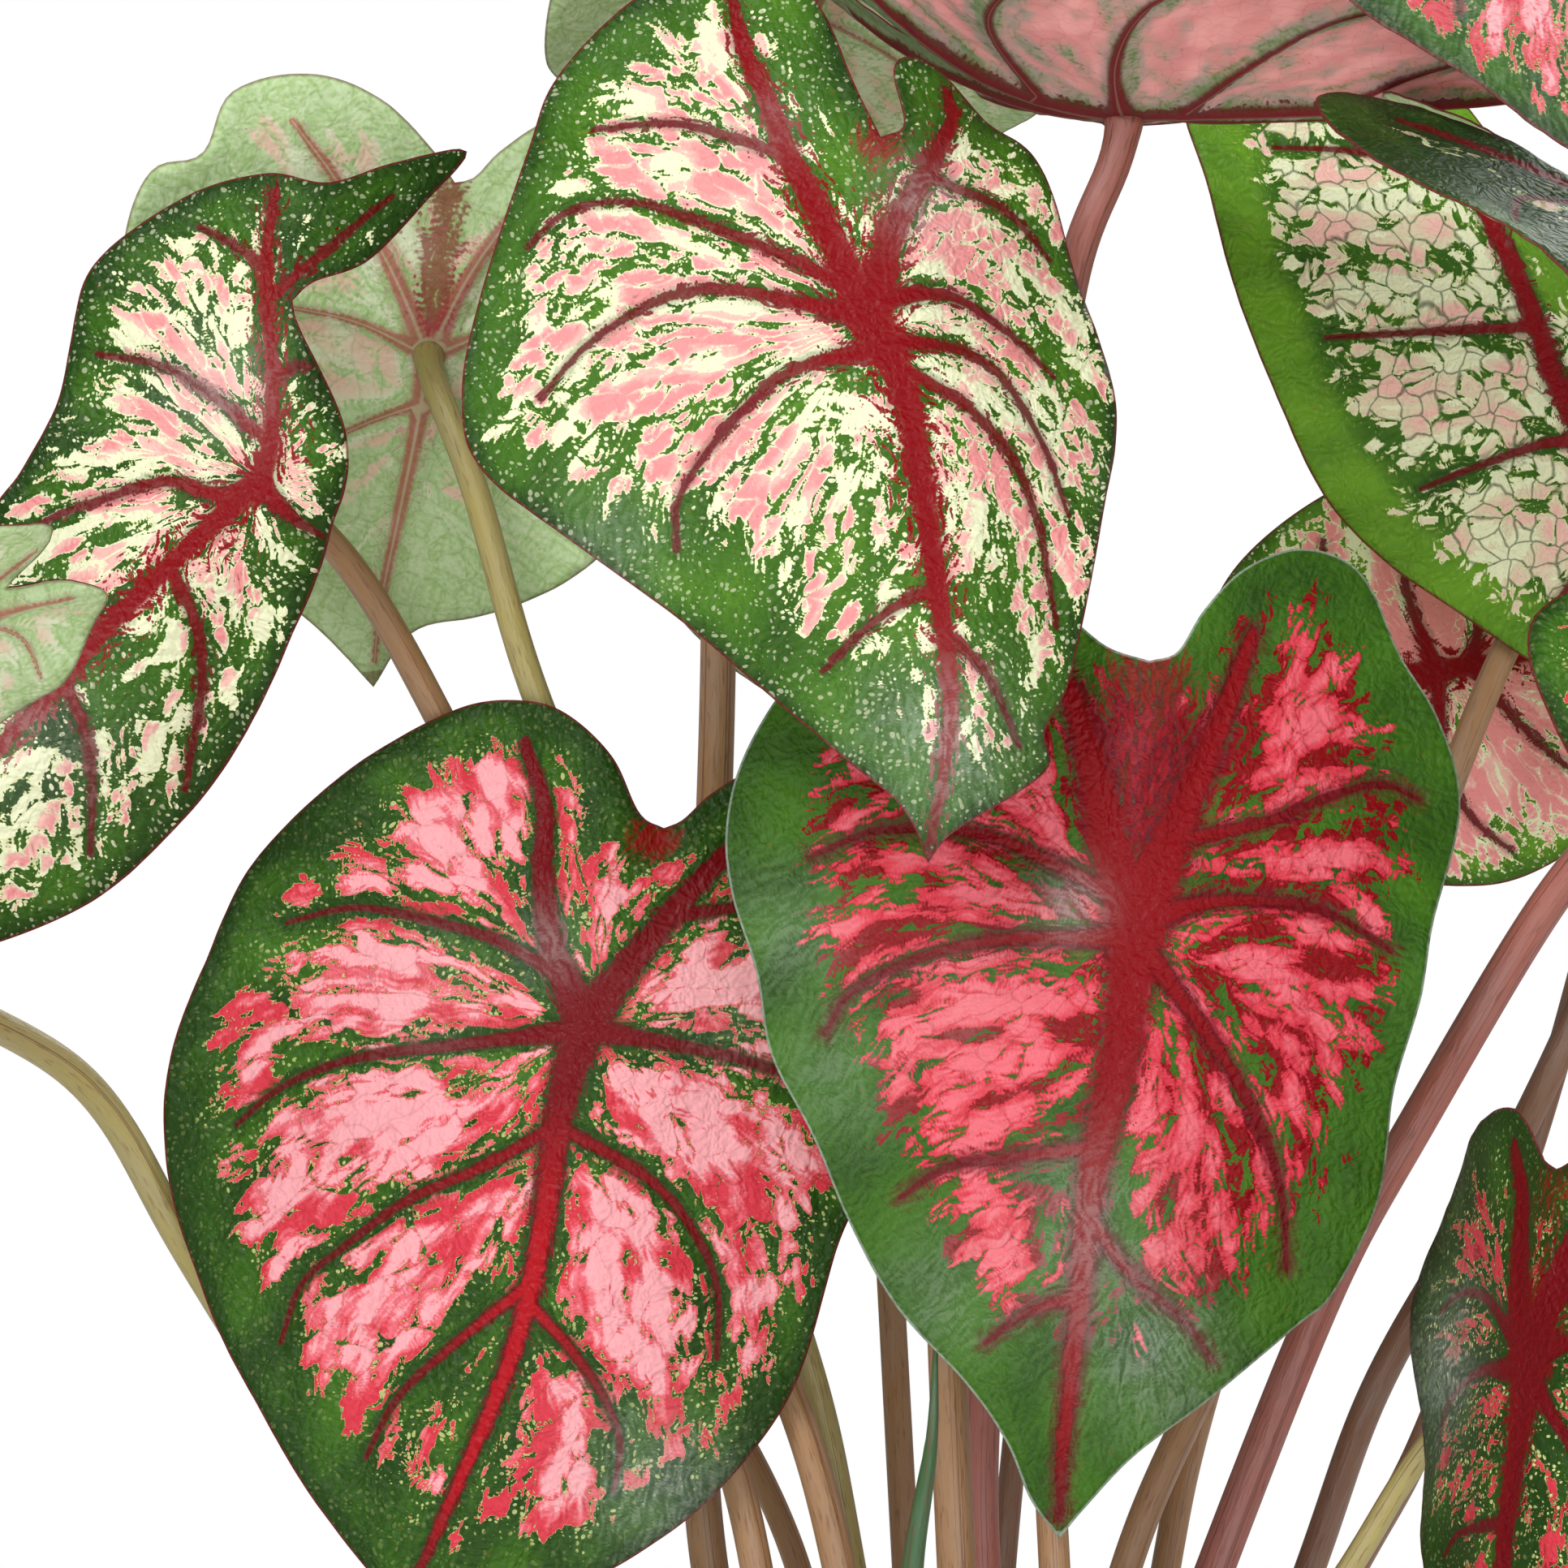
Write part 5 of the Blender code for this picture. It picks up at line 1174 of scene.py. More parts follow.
def border_width(name, points):
    """Give the width of the green border in each point's direction."""
    rows = np.array(BORDERS.get(name, EVEN_BORDER), float)
    angle = np.degrees(np.arctan2(points[:, 1], points[:, 0])) % 360
    return np.interp(angle, rows[:, 0], rows[:, 1], period=360) * MM


def store(mesh, name, values):
    """Keep three numbers for each point of a mesh."""
    layer = mesh.attributes.new(name, "FLOAT_VECTOR", "POINT")
    layer.data.foreach_set("vector", np.asarray(values, np.float32).ravel())


def rib_widths(leaf, midrib, ribs, sizes, widen, swell):
    """Give each rib with half its width at its start and end, how much it frays and how it tapers."""
    scale = widen * (1 - RIB_SHRINK * (1 - leaf["size"]))
    found = [(midrib, sizes.midrib * scale * swell**0.5, MIDRIB_END, *THICK_RIB)]
    for path in ribs:
        from_hub = np.hypot(*path[0]) < HUB_REACH
        if from_hub and path[-1][1] > LOBE_LEVEL:
            start = sizes.lobe_rib * scale * LOBE_SWELL * swell
            found.append((path, start, LOBE_RIB_END * widen, *THICK_RIB))
        elif from_hub:
            found.append((path, sizes.lobe_rib * scale * HUB_SIDE_RIB, SIDE_RIB_END, *THIN_RIB))
        else:
            found.append((path, sizes.side_rib * scale, SIDE_RIB_END, *THIN_RIB))
    return found


def soft_noise(spots, seed):
    """Give a smooth noise from -1 to 1 at rows of x and y."""
    x = spots[:, 0] + SEED_STEPS[0] * seed
    y = spots[:, 1] + SEED_STEPS[1] * seed
    column, row = np.floor(x).astype(int), np.floor(y).astype(int)
    across, up = x - column, y - row
    ease_x = across**3 * (across * (6 * across - 15) + 10)
    ease_y = up**3 * (up * (6 * up - 15) + 10)
    total = 0
    for i, share_x in ((0, 1 - ease_x), (1, ease_x)):
        for j, share_y in ((0, 1 - ease_y), (1, ease_y)):
            slope = SLOPES[(column + i) % SLOPE_ROWS, (row + j) % SLOPE_ROWS]
            total = total + share_x * share_y * (np.cos(slope) * (across - i) + np.sin(slope) * (up - j))
    return SOFT_CONTRAST * total


def drawn_out(flat, flow, kind, index):
    """Give a noise on a blade, drawn out along its side ribs."""
    size, reach, seed = kind
    total = np.zeros(len(flat))
    for step, weight in SMEAR:
        total += weight * soft_noise((flat + step * reach * MM * flow) / (size * MM), index + seed)
    return total * SMEAR_CONTRAST


def even_noise(flat, kind, index):
    """Give a noise on a blade that runs no way in particular."""
    size, seed = kind
    return soft_noise(flat / (size * MM), index + seed)


def soft_spots(flat, rows, column=3):
    """Add up soft spots of (x, y, radius, ...) on a blade, with their strength in one of the columns."""
    total = np.zeros(len(flat))
    for row in rows:
        x, y, radius = row[:3]
        square = (flat[:, 0] / MM - x) ** 2 + (flat[:, 1] / MM - y) ** 2
        total += row[column] * np.exp(-square / radius**2)
    return total


def facing_up(flat, faces):
    """Give the triangles with their upper sides towards +Z."""
    turned = []
    for a, b, c in faces:
        first = flat[b] - flat[a]
        second = flat[c] - flat[a]
        turned.append((a, b, c) if first[0] * second[1] - first[1] * second[0] > 0 else (a, c, b))
    return turned


def rib_values(flat, widths, hub, widen, swell):
    """Give what the ribs mean for each point of a blade.

    That is the gap to the nearest rib's edge, half that rib's width, how much it frays, the distance to the
    nearest rib's middle, and the direction in which the side ribs run.
    """
    gap = hub - HUB_RADIUS * widen * swell
    flare = HUB_FLARE * swell * np.exp(-((hub / FLARE_REACH) ** 2))
    half = np.full(len(flat), HUB_HALF)
    fray = np.full(len(flat), 1.0)
    away = np.full(len(flat), 1.0)
    flow = np.zeros_like(flat)
    for path, start, end, frays, taper in widths:
        distance, along, heading = nearest(flat, path)
        width = end + (start - end) * (1 - along) ** taper + flare
        closer = distance - width < gap
        gap = np.where(closer, distance - width, gap)
        half = np.where(closer, width, half)
        fray = np.where(closer, frays * (1 - FRAY_LOSS * along), fray)
        away = np.minimum(away, distance)
        pull = MIDRIB_PULL if path is widths[0][0] else 1
        flow += heading * (pull / (distance + FLOW_ROUNDING) ** 2)[:, None]
    flow /= np.maximum(np.linalg.norm(flow, axis=1), 1e-9)[:, None]
    return gap, half, fray, away, flow


def paint_values(index, name, leaf, flat, edge, gap, flow):
    """Give how much paint and how much blush each point of a blade has."""
    colouring = COLOURINGS[LOOKS[name][0]]
    border = border_width(name, flat) * leaf["size"]
    inner = np.clip((edge - border) / (colouring["ramp"] * MM), -1, 1)
    inner = np.where(inner < 0, BORDER_SLOPE * inner, 1 - (1 - inner) ** PANEL_EASE)
    strength, width = colouring["flank"]
    broad, narrow = colouring["streaks"]
    paint = colouring["level"] + PAINT_RISE * inner
    paint -= strength * np.exp(-np.maximum(gap, 0) / (width * MM))
    paint += broad * drawn_out(flat, flow, BROAD_STREAKS, index)
    paint += narrow * drawn_out(flat, flow, FINE_STREAKS, index)
    paint += colouring["core"] * np.clip((np.minimum(gap, edge - border) - CORE_START) / CORE_RISE, 0, 1)
    blush = colouring["blush_level"] + BLUSH_RISE * drawn_out(flat, flow, BLUSH_CLOUDS, index)
    spots = SPOTS.get(name, [])
    return paint + soft_spots(flat, spots, 3), blush + soft_spots(flat, spots, 4)


def cell_places(index, style, flat, hub):
    """Give the places that a blade's fine pattern and its patches of cells are drawn with."""
    warp = [COLOURINGS[style]["warp"] * even_noise(flat, kind, index) for kind in WARPS]
    plane = [flat[:, 0] / CM + PLANE_SHIFT * index + warp[0], flat[:, 1] / CM + warp[1], np.zeros(len(flat))]
    if style == "mosaic":
        return plane, plane
    turned = np.abs(np.arctan2(flat[:, 0], -flat[:, 1]))
    outward = hub / CM / PATCH_LENGTH + PATCH_SLANT * plane[0] + warp[0]
    return plane, [outward, PATCH_TURNS * turned + warp[1], np.zeros(len(flat))]


def two_sided(name, flat, faces, height, bottom):
    """Give the closed mesh of a sheet with triangles above and below and a rim between them."""
    count = len(flat)
    sides = [side for a, b, c in faces for side in ((a, b), (b, c), (c, a))]
    met = set(sides)
    rims = [(b, a, a + count, b + count) for a, b in sides if (b, a) not in met]
    under = [(a + count, c + count, b + count) for a, b, c in faces]
    mesh = bpy.data.meshes.new(name)
    points = np.vstack([np.column_stack([flat, height]), np.column_stack([flat, bottom])])
    mesh.from_pydata(points.tolist(), [], faces + under + rims)
    mesh.polygons.foreach_set("material_index", [0] * len(faces) + [1] * len(under) + [0] * len(rims))
    mesh.shade_smooth()
    return mesh


def build_blade(index, name, leaf, sizes, materials):
    """Build one blade as a closed sheet with raised ribs on its underside."""
    style, under, _, step = LOOKS[name]
    colouring = COLOURINGS[style]
    margin, midrib, ribs = blade_lines(leaf, step * MM)
    flat, faces = blade_sheet(margin, [midrib] + ribs, step * MM)
    faces = facing_up(flat, faces)
    edge = nearest(flat, np.vstack([margin, margin[:1]]))[0]
    hub = np.hypot(flat[:, 0], flat[:, 1])
    swell = SWELLS.get(name, 1.0)
    widths = rib_widths(leaf, midrib, ribs, sizes, colouring["ribs"], swell)
    gap, half, fray, away, flow = rib_values(flat, widths, hub, colouring["ribs"], swell)

    pucker = even_noise(flat, PUCKERS, index) + FINE_SHARE * even_noise(flat, FINE_PUCKERS, index)
    height = blade_height(flat, leaf, edge, away, midrib, sizes)
    height = height + sizes.crinkle * pucker * (1 - np.exp(-((away / PUCKER_START) ** 2)))
    round_rib = np.clip(1 - (away / (ROUND_SHARE * half + ROUND_REACH)) ** 2, 0, 1) ** 0.5
    raised = round_rib * np.minimum(half, RIB_HEIGHT) * np.clip(edge / RIB_FADE, 0, 1)
    thick = sizes.thickness * (1 - EDGE_LOSS * np.exp(-edge / THIN_REACH))
    mesh = two_sided("leaf_" + name, flat, faces, height, height - thick - raised)

    paint, blush = paint_values(index, name, leaf, flat, edge, gap, flow)
    plane, patches = cell_places(index, style, flat, hub)
    ground = GROUNDS.get(name, PLAIN_GROUND) + GROUND_RISE * drawn_out(flat, flow, GROUND_CLOUDS, index)
    stain = soft_spots(flat, STAINS.get(name, []))
    # Where the painted sheen lies on the blade
    painted_sheen = soft_spots(flat, PAINTED_SHINES.get(name, []))
    for label, values in [
        ("plane", plane),
        ("patches", patches),
        ("flow", [flow[:, 0], flow[:, 1], stain]),
        ("ribs", [gap / MM, half / MM, fray * colouring["feather"]]),
        ("place", [edge / MM, ground, np.zeros(len(flat))]),
        ("tone", [paint, blush, painted_sheen]),
    ]:
        rows = np.stack(values, axis=1)
        store(mesh, label, np.vstack([rows, rows]))
    mesh.transform(leaf_matrix(leaf))
    slot = "blade_" + leaf["colouring"]
    place_piece("leaf_" + name, mesh, "blade_" + name, slot, materials[style], materials[under])


def leaf_matrix(leaf):
    """Give the matrix from a blade's plane to the world."""
    face_viewer = Matrix.Rotation(math.radians(90), 4, "X")
    roll = Matrix.Rotation(math.radians(leaf["roll"]), 4, "Z")
    tilt = Matrix.Rotation(math.radians(-leaf["tilt"]), 4, "X")
    turn = Matrix.Rotation(math.radians(leaf["turn"]), 4, "Z")
    place = Matrix.Translation(Vector(leaf["joint"]) * MM)
    return place @ turn @ tilt @ face_viewer @ roll


def tuber_height(x, y):
    """Give the level of the tuber's upper surface."""
    rest = 1 - (x / TUBER_RADII.x) ** 2 - (y / TUBER_RADII.y) ** 2
    return TUBER_CENTRE.z + TUBER_RADII.z * math.sqrt(rest)


def foot_points(foot, bend):
    """Give the lowest point of a stem on the tuber, and the point where it leaves the soil."""
    collar = Vector((foot[0] * MM, foot[1] * MM, COLLAR_LEVEL))
    rise = Vector(bend) * MM - collar
    lean = Vector((FOOT_LEAN * rise.x, FOOT_LEAN * rise.y, rise.z)).normalized()
    drop = COLLAR_LEVEL - FOOT_DEPTH - tuber_height(collar.x, collar.y)
    return collar - lean * (drop / lean.z), collar


def stalk_path(leaf, step):
    """Give the middle line of a stalk from the tuber to the underside of its blade."""
    low, collar = foot_points(leaf["foot"], leaf["bends"][0])
    facing = leaf_matrix(leaf).to_3x3() @ Vector((0, 0, 1))
    joint = Vector(leaf["joint"]) * MM - facing * JOINT_DEPTH
    neck = joint - facing * NECK_LENGTH
    seat = joint - facing * SEAT_LENGTH
    route = [collar] + [Vector(bend) * MM for bend in leaf["bends"]] + [neck, seat]
    upper = np.vstack([smooth_path([tuple(point) for point in route], step), tuple(joint)])
    for _ in range(RELAXING):
        upper[1:-2] += 0.5 * ((upper[:-3] + upper[2:-1]) / 2 - upper[1:-2])
    return np.vstack([tuple(low), tuple((low + collar) / 2), upper])


def tube_mesh(name, path, radii, sides, relief=None):
    """Give a closed tube along a path, with its place on the stem kept for its material."""
    heading = np.gradient(path, axis=0)
    heading /= np.linalg.norm(heading, axis=1)[:, None]
    across = np.cross(heading[0], SEAM_SIDE)
    along = distances(path)
    angles = np.linspace(0, 2 * math.pi, sides, endpoint=False)
    points, stems = [], []
    for i, centre in enumerate(path):
        across = across - heading[i] * across.dot(heading[i])
        across /= np.linalg.norm(across)
        over = np.cross(heading[i], across)
        for angle in angles:
            radius = radii[i] * (1 + (relief(angle, i / (len(path) - 1)) if relief else 0))
            points.append(centre + radius * (math.cos(angle) * across + math.sin(angle) * over))
            stems.append((radii[i] / CM * math.cos(angle), radii[i] / CM * math.sin(angle), along[i] / CM))
    faces = []
    for i in range(len(path) - 1):
        for j in range(sides):
            k = (j + 1) % sides
            faces.append((i * sides + j, i * sides + k, (i + 1) * sides + k, (i + 1) * sides + j))
    faces.append(tuple(range(sides - 1, -1, -1)))
    faces.append(tuple(range((len(path) - 1) * sides, len(path) * sides)))
    mesh = bpy.data.meshes.new(name)
    mesh.from_pydata([tuple(point) for point in points], [], faces)
    mesh.shade_smooth()
    store(mesh, "stem", stems)
    return mesh


def place_piece(name, mesh, node, slot, *skins):
    """Put a mesh in the scene as a piece that stands for a node."""
    for skin in skins:
        mesh.materials.append(skin)
    piece = bpy.data.objects.new(name, mesh)
    bpy.context.scene.collection.objects.link(piece)
    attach(piece, PLANT_BODY)
    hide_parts(node)


def stalk_material(name, base, colours):
    """Make a stalk's skin: fine streaks and specks along it."""
    made, graph, surface = new_material("stalk_" + name)
    stem = graph.attribute("stem")
    drawn = graph.stretch(stem, (7.0, 7.0, 0.9))
    fine = graph.noise(drawn, 2.2, 3.0)
    cloud = graph.noise(graph.stretch(stem, (1.5, 1.5, 0.25)), 1.6, 2.0)
    shade = graph.mix(graph.smooth(cloud, -0.7, 0.9), base, [0.8 * value + 0.05 for value in base])
    shade = graph.mix(graph.times(graph.smooth(fine, 0.1, 0.9), 0.6), shade, colours.streak)
    specks = graph.use("caladium_specks", {"Place": drawn, "Scale": 2.6, "Size": 0.55})[0]
    shade = graph.mix(graph.times(specks, 0.6), shade, colours.streak)
    graph.put(surface.inputs["Base Color"], shade)
    graph.put(surface.inputs["Roughness"], graph.add(0.46, graph.times(fine, 0.06)))
    graph.bump(surface, fine, 0.3, 0.3 * MM)
    return made


def build_stalk(name, leaf, sizes, materials):
    """Build one stalk, thinner towards its blade and flared where it meets it."""
    path = stalk_path(leaf, sizes.step)
    along = distances(path)
    shares = along / along[-1]
    steps = 1 + (TAPER_STEPS - 2) * (1 - (1 - shares) ** (1 / END_CROWDING))
    taper = 1 - (1 - TOP_TAPER) * steps / TAPER_STEPS
    flare = 1 + NECK_FLARE * np.exp(-(along[-1] - along) / NECK_REACH)
    mesh = tube_mesh("stalk_" + name, path, taper * flare * leaf["radius"] * MM, sizes.sides)
    place_piece("stalk_" + name, mesh, "petiole_" + name, "petiole", materials[LOOKS[name][2]])


def pot_radius(level, sizes):
    """Give the pot's outer radius at a level, without its rim."""
    return sizes.foot_radius + (sizes.top_radius - sizes.rim_step - sizes.foot_radius) * level / sizes.height


def disc_with_holes(radius, sizes):
    """Give the points and triangles of a disc with the drain holes left out."""
    corners = [Vector((radius * math.cos(turn), radius * math.sin(turn)))
               for turn in np.linspace(0, 2 * math.pi, sizes.sides, endpoint=False)]
    rim = list(range(len(corners)))
    edges = []
    holes = []
    for step in range(DRAIN_HOLES):
        turn = 2 * math.pi * (step + 0.5) / DRAIN_HOLES
        centre = Vector((sizes.drain_circle * math.cos(turn), sizes.drain_circle * math.sin(turn)))
        holes.append(centre)
        first = len(corners)
        for angle in np.linspace(0, 2 * math.pi, HOLE_SIDES, endpoint=False):
            corners.append(centre + sizes.drain_radius * Vector((math.cos(angle), math.sin(angle))))
        edges += [(first + i, first + (i + 1) % HOLE_SIDES) for i in range(HOLE_SIDES)]
    found = delaunay_2d_cdt(corners, edges, [rim], 1, SMALL_STEP)
    faces = []
    for face in found[2]:
        middle = sum((found[0][i] for i in face), Vector((0, 0))) / 3
        if min((middle - centre).length for centre in holes) > sizes.drain_radius * 0.98:
            faces.append(list(face))
    return found[0], faces


def pot_outline(sizes):
    """Give the pot's section as (radius, level), from its inner floor over its rim to its underside."""
    rim_foot = sizes.height - sizes.rim_height
    inner = pot_radius(sizes.height, sizes) - sizes.wall
    outline = [(pot_radius(sizes.floor, sizes) - sizes.wall, sizes.floor)]
    for share_up in np.linspace(0.1, 1, 10):
        level = sizes.floor + share_up * (sizes.height - 2 * MM - sizes.floor)
        outline.append((pot_radius(level, sizes) - sizes.wall, level))
    lip = (sizes.top_radius - inner) / 2
    for turn in np.radians(np.linspace(160, 20, 8)):
        level = sizes.height - LIP_ROLL + LIP_ROLL * math.sin(turn)
        outline.append((inner + lip + lip * math.cos(turn), level))
    for level in np.linspace(sizes.height - 4 * MM, rim_foot + 2 * MM, 5):
        outline.append((pot_radius(level, sizes) + sizes.rim_step, level))
    band = pot_radius(rim_foot, sizes)
    outline.append((band + sizes.rim_step - 0.3 * MM, rim_foot + 0.5 * MM))
    outline.append((band + sizes.rim_step - 1.2 * MM, rim_foot))
    outline.append((band + 0.6 * MM, rim_foot - 0.6 * MM))
    for level in np.linspace(rim_foot - 2 * MM, 3 * MM, 12):
        outline.append((pot_radius(level, sizes), level))
    return outline + [(sizes.foot_radius - 0.5 * MM, 1 * MM), (sizes.foot_radius - 2 * MM, 0)]


def pot_mesh(sizes):
    """Give the turned pot with its rolled rim, inner wall, floor and drain holes."""
    outline = pot_outline(sizes)
    points, faces = [], []
    angles = np.linspace(0, 2 * math.pi, sizes.sides, endpoint=False)
    for radius, level in outline:
        for angle in angles:
            spot = Vector((2 * math.cos(angle), 2 * math.sin(angle), level * 160))
            ripple = RIPPLE * noise.noise(spot)
            points.append(((radius + ripple) * math.cos(angle), (radius + ripple) * math.sin(angle), level))
    for i in range(len(outline) - 1):
        for j in range(sizes.sides):
            k = (j + 1) % sizes.sides
            low, high = i * sizes.sides, (i + 1) * sizes.sides
            faces.append((low + j, high + j, high + k, low + k))
    for radius, level, flip in [(outline[0][0], sizes.floor, False), (outline[-1][0], 0, True)]:
        flat, triangles = disc_with_holes(radius, sizes)
        first = len(points)
        points += [(point.x, point.y, level) for point in flat]
        faces += [tuple(first + i for i in (reversed(face) if flip else face)) for face in triangles]
    mesh = bpy.data.meshes.new("clay_pot")
    mesh.from_pydata(points, [], faces)
    shape = bmesh.new()
    shape.from_mesh(mesh)
    bmesh.ops.remove_doubles(shape, verts=shape.verts, dist=POT_WELD)
    loops = {}
    for side in shape.edges:
        if len(side.link_faces) == 1:
            loops.setdefault(round(side.verts[0].co.z, 4), []).append(side)
    bmesh.ops.bridge_loops(shape, edges=[side for group in loops.values() for side in group])
    bmesh.ops.recalc_face_normals(shape, faces=shape.faces)
    shape.to_mesh(mesh)
    shape.free()
    mesh.shade_smooth()
    mesh.set_sharp_from_angle(angle=math.radians(SHARP_ANGLE))
    return mesh


def add_ring(shape, previous, ring):
    """Join a ring of points to the one before it, or to a single middle point."""
    for j, (start, end) in enumerate(zip(ring, ring[1:] + ring[:1])):
        if len(previous) == 1:
            shape.faces.new((previous[0], start, end))
        else:
            shape.faces.new((previous[j], start, end, previous[(j + 1) % len(previous)]))


def soil_mesh(sizes):
    """Give the soil's uneven surface with loose crumbs on it."""
    shape = bmesh.new()
    reach = pot_radius(sizes.soil_level, sizes) - sizes.wall - SOIL_GAP
    previous = [shape.verts.new((0, 0, soil_height(0, 0, reach, sizes)))]
    for i in range(1, SOIL_RINGS + 1):
        radius = reach * (i / SOIL_RINGS) ** RING_CROWDING
        ring = []
        for j in range(SOIL_SIDES):
            x = radius * math.cos(2 * math.pi * j / SOIL_SIDES)
            y = radius * math.sin(2 * math.pi * j / SOIL_SIDES)
            ring.append(shape.verts.new((x, y, soil_height(x, y, reach, sizes))))
        add_ring(shape, previous, ring)
        previous = ring
    foot = sizes.floor + 0.3 * MM
    narrow = (pot_radius(foot, sizes) - sizes.wall - SOIL_GAP) / reach
    low = [shape.verts.new((vert.co.x * narrow, vert.co.y * narrow, foot)) for vert in previous]
    add_ring(shape, previous, low)
    shape.faces.new(list(reversed(low)))
    chance = random.Random(5)
    for _ in range(sizes.crumbs):
        radius = reach * CRUMB_REACH * math.sqrt(chance.random())
        turn = chance.uniform(0, 2 * math.pi)
        x, y = radius * math.cos(turn), radius * math.sin(turn)
        size = chance.choice(CRUMB_SIZES) * MM
        place = Matrix.Translation((x, y, soil_height(x, y, reach, sizes) + CRUMB_RISE * size))
        angle = chance.uniform(0, 6.28)
        axis = Vector((chance.random(), chance.random(), 1)).normalized()
        spin = Matrix.Rotation(angle, 4, axis)
        stretch = [chance.uniform(least, most) for least, most in CRUMB_STRETCH]
        squash = Matrix.Diagonal((*stretch, 1))
        made = bmesh.ops.create_icosphere(shape, subdivisions=1, radius=size, matrix=place @ spin @ squash)
        for vert in made["verts"]:
            vert.co += Vector([chance.uniform(-CRUMB_RAGGED, CRUMB_RAGGED) * size for _ in range(3)])
    bmesh.ops.recalc_face_normals(shape, faces=shape.faces)
    mesh = bpy.data.meshes.new("potting_soil")
    shape.to_mesh(mesh)
    shape.free()
    return mesh


def soil_height(x, y, reach, sizes):
    """Give the level of the soil's lumpy surface."""
    crown = sizes.soil_crown * (1 - (x * x + y * y) / reach**2)
    lumps = sum(height * noise.noise(Vector((x, y, 0)) * scale) for height, scale in SOIL_LUMPS)
    return sizes.soil_level + crown + lumps * MM


def clay_material(sizes):
    """Make the fired clay: flecks, fine turning lines and a pale bloom of salts."""
    made, graph, surface = new_material("terracotta")
    place = graph.object_place()
    cloud = graph.noise(place, 28.0, 4.0)
    grain = graph.noise(place, 900.0, 2.0)
    rings = graph.noise(graph.stretch(place, (12.0, 12.0, 900.0)), 1.0, 1.0)
    flecks = graph.smooth(graph.add(cloud, graph.times(grain, 0.4)), -0.8, 0.8)
    shade = graph.mix(flecks, sizes.clay_dark, sizes.clay)
    shade = graph.mix(graph.times(graph.smooth(rings, 0.2, 1.0), 0.25), shade, sizes.clay_dark)
    salts = graph.smooth(graph.add(graph.noise(place, 14.0, 5.0), graph.times(grain, 0.25)), 0.25, 1.1)
    shade = graph.mix(graph.times(salts, 0.5), shade, sizes.bloom)
    graph.put(surface.inputs["Base Color"], shade)
    graph.put(surface.inputs["Roughness"], graph.add(0.82, graph.times(grain, 0.06)))
    graph.bump(surface, graph.add(graph.times(grain, 0.4), graph.times(rings, 0.5)), 0.4, 0.4 * MM)
    return made


def soil_material(sizes):
    """Make the damp soil: dark crumbs with lighter fibres."""
    made, graph, surface = new_material("soil")
    place = graph.object_place()
    lumps = graph.noise(place, 180.0, 5.0)
    grain = graph.noise(place, 900.0, 3.0)
    fibres = graph.smooth(graph.add(lumps, graph.times(grain, 0.7)), -0.4, 1.4)
    graph.put(surface.inputs["Base Color"], graph.mix(fibres, sizes.soil, sizes.soil_light))
    graph.put(surface.inputs["Roughness"], graph.add(0.9, graph.times(grain, 0.05)))
    graph.bump(surface, graph.add(lumps, grain), 0.7, 0.8 * MM)
    return made


def tuber_material(sizes):
    """Make the tuber's rough brown skin."""
    made, graph, surface = new_material("tuber")
    place = graph.object_place()
    bark = graph.noise(place, 120.0, 5.0)
    rings = graph.noise(graph.stretch(place, (20.0, 20.0, 500.0)), 1.0, 2.0)
    relief = graph.add(bark, rings)
    shade = graph.mix(graph.smooth(relief, -0.9, 1.2), sizes.soil, sizes.tuber)
    graph.put(surface.inputs["Base Color"], shade)
    surface.inputs["Roughness"].default_value = 0.9
    graph.bump(surface, relief, 0.6, 1 * MM)
    return made


class CALADIUM_OT_blades(bpy.types.Operator):
    """Build every blade with its ribs and painted panels"""

    bl_idname = "caladium.blades"
    bl_label = "Build Blades"

    def execute(self, context):
        sizes = context.scene.caladium_blades
        colours = context.scene.caladium_colours
        materials = {name: upper_material(name, colouring, colours, sizes.translucence)
                     for name, colouring in COLOURINGS.items()}
        for name in ("grey", "rose"):
            materials[name] = lower_material(name, colours, sizes.translucence)
        for index, (name, leaf) in enumerate(LEAVES.items()):
            build_blade(index, name, leaf, sizes, materials)
        return {"FINISHED"}


class CALADIUM_OT_stalks(bpy.types.Operator):
    """Build every blade's stalk"""

    bl_idname = "caladium.stalks"
    bl_label = "Build Stalks"

    def execute(self, context):
        sizes = context.scene.caladium_stalks
        materials = {name: stalk_material(name, getattr(sizes, name), sizes)
                     for name in ("tan", "rosy", "olive", "brown")}
        for name, leaf in LEAVES.items():
            build_stalk(name, leaf, sizes, materials)
        return {"FINISHED"}


class CALADIUM_OT_new_leaf(bpy.types.Operator):
    """Build the rolled new leaf with its spiral seam"""

    bl_idname = "caladium.new_leaf"
    bl_label = "Build New Leaf"

    def execute(self, context):
        sizes = context.scene.caladium_stalks
        low, collar = foot_points(NEW_LEAF_PATH[0][:2], NEW_LEAF_PATH[1])
        route = [tuple(collar)] + [tuple(Vector(point) * MM) for point in NEW_LEAF_PATH[1:]]
        path = np.vstack([tuple(low), smooth_path(route, NEW_LEAF_STEP)])
        known = np.linspace(0, 1, len(NEW_LEAF_RADII))
        radii = np.interp(np.linspace(0, 1, len(path)), known, NEW_LEAF_RADII) * MM
        mesh = tube_mesh("rolled_leaf", path, radii, NEW_LEAF_SIDES, rolled_seam)
        skin = stalk_material("new_leaf", sizes.new_leaf, sizes)
        place_piece("rolled_leaf", mesh, "new_leaf", "new_leaf", skin)
        return {"FINISHED"}


def rolled_seam(angle, along):
    """Give how far the rolled blade's overlap steps in, as a share of its radius."""
    turned = (angle / (2 * math.pi) - SEAM_TURNS * along) % 1
    return -SEAM_DEPTH * turned * min(1, 3 * along)


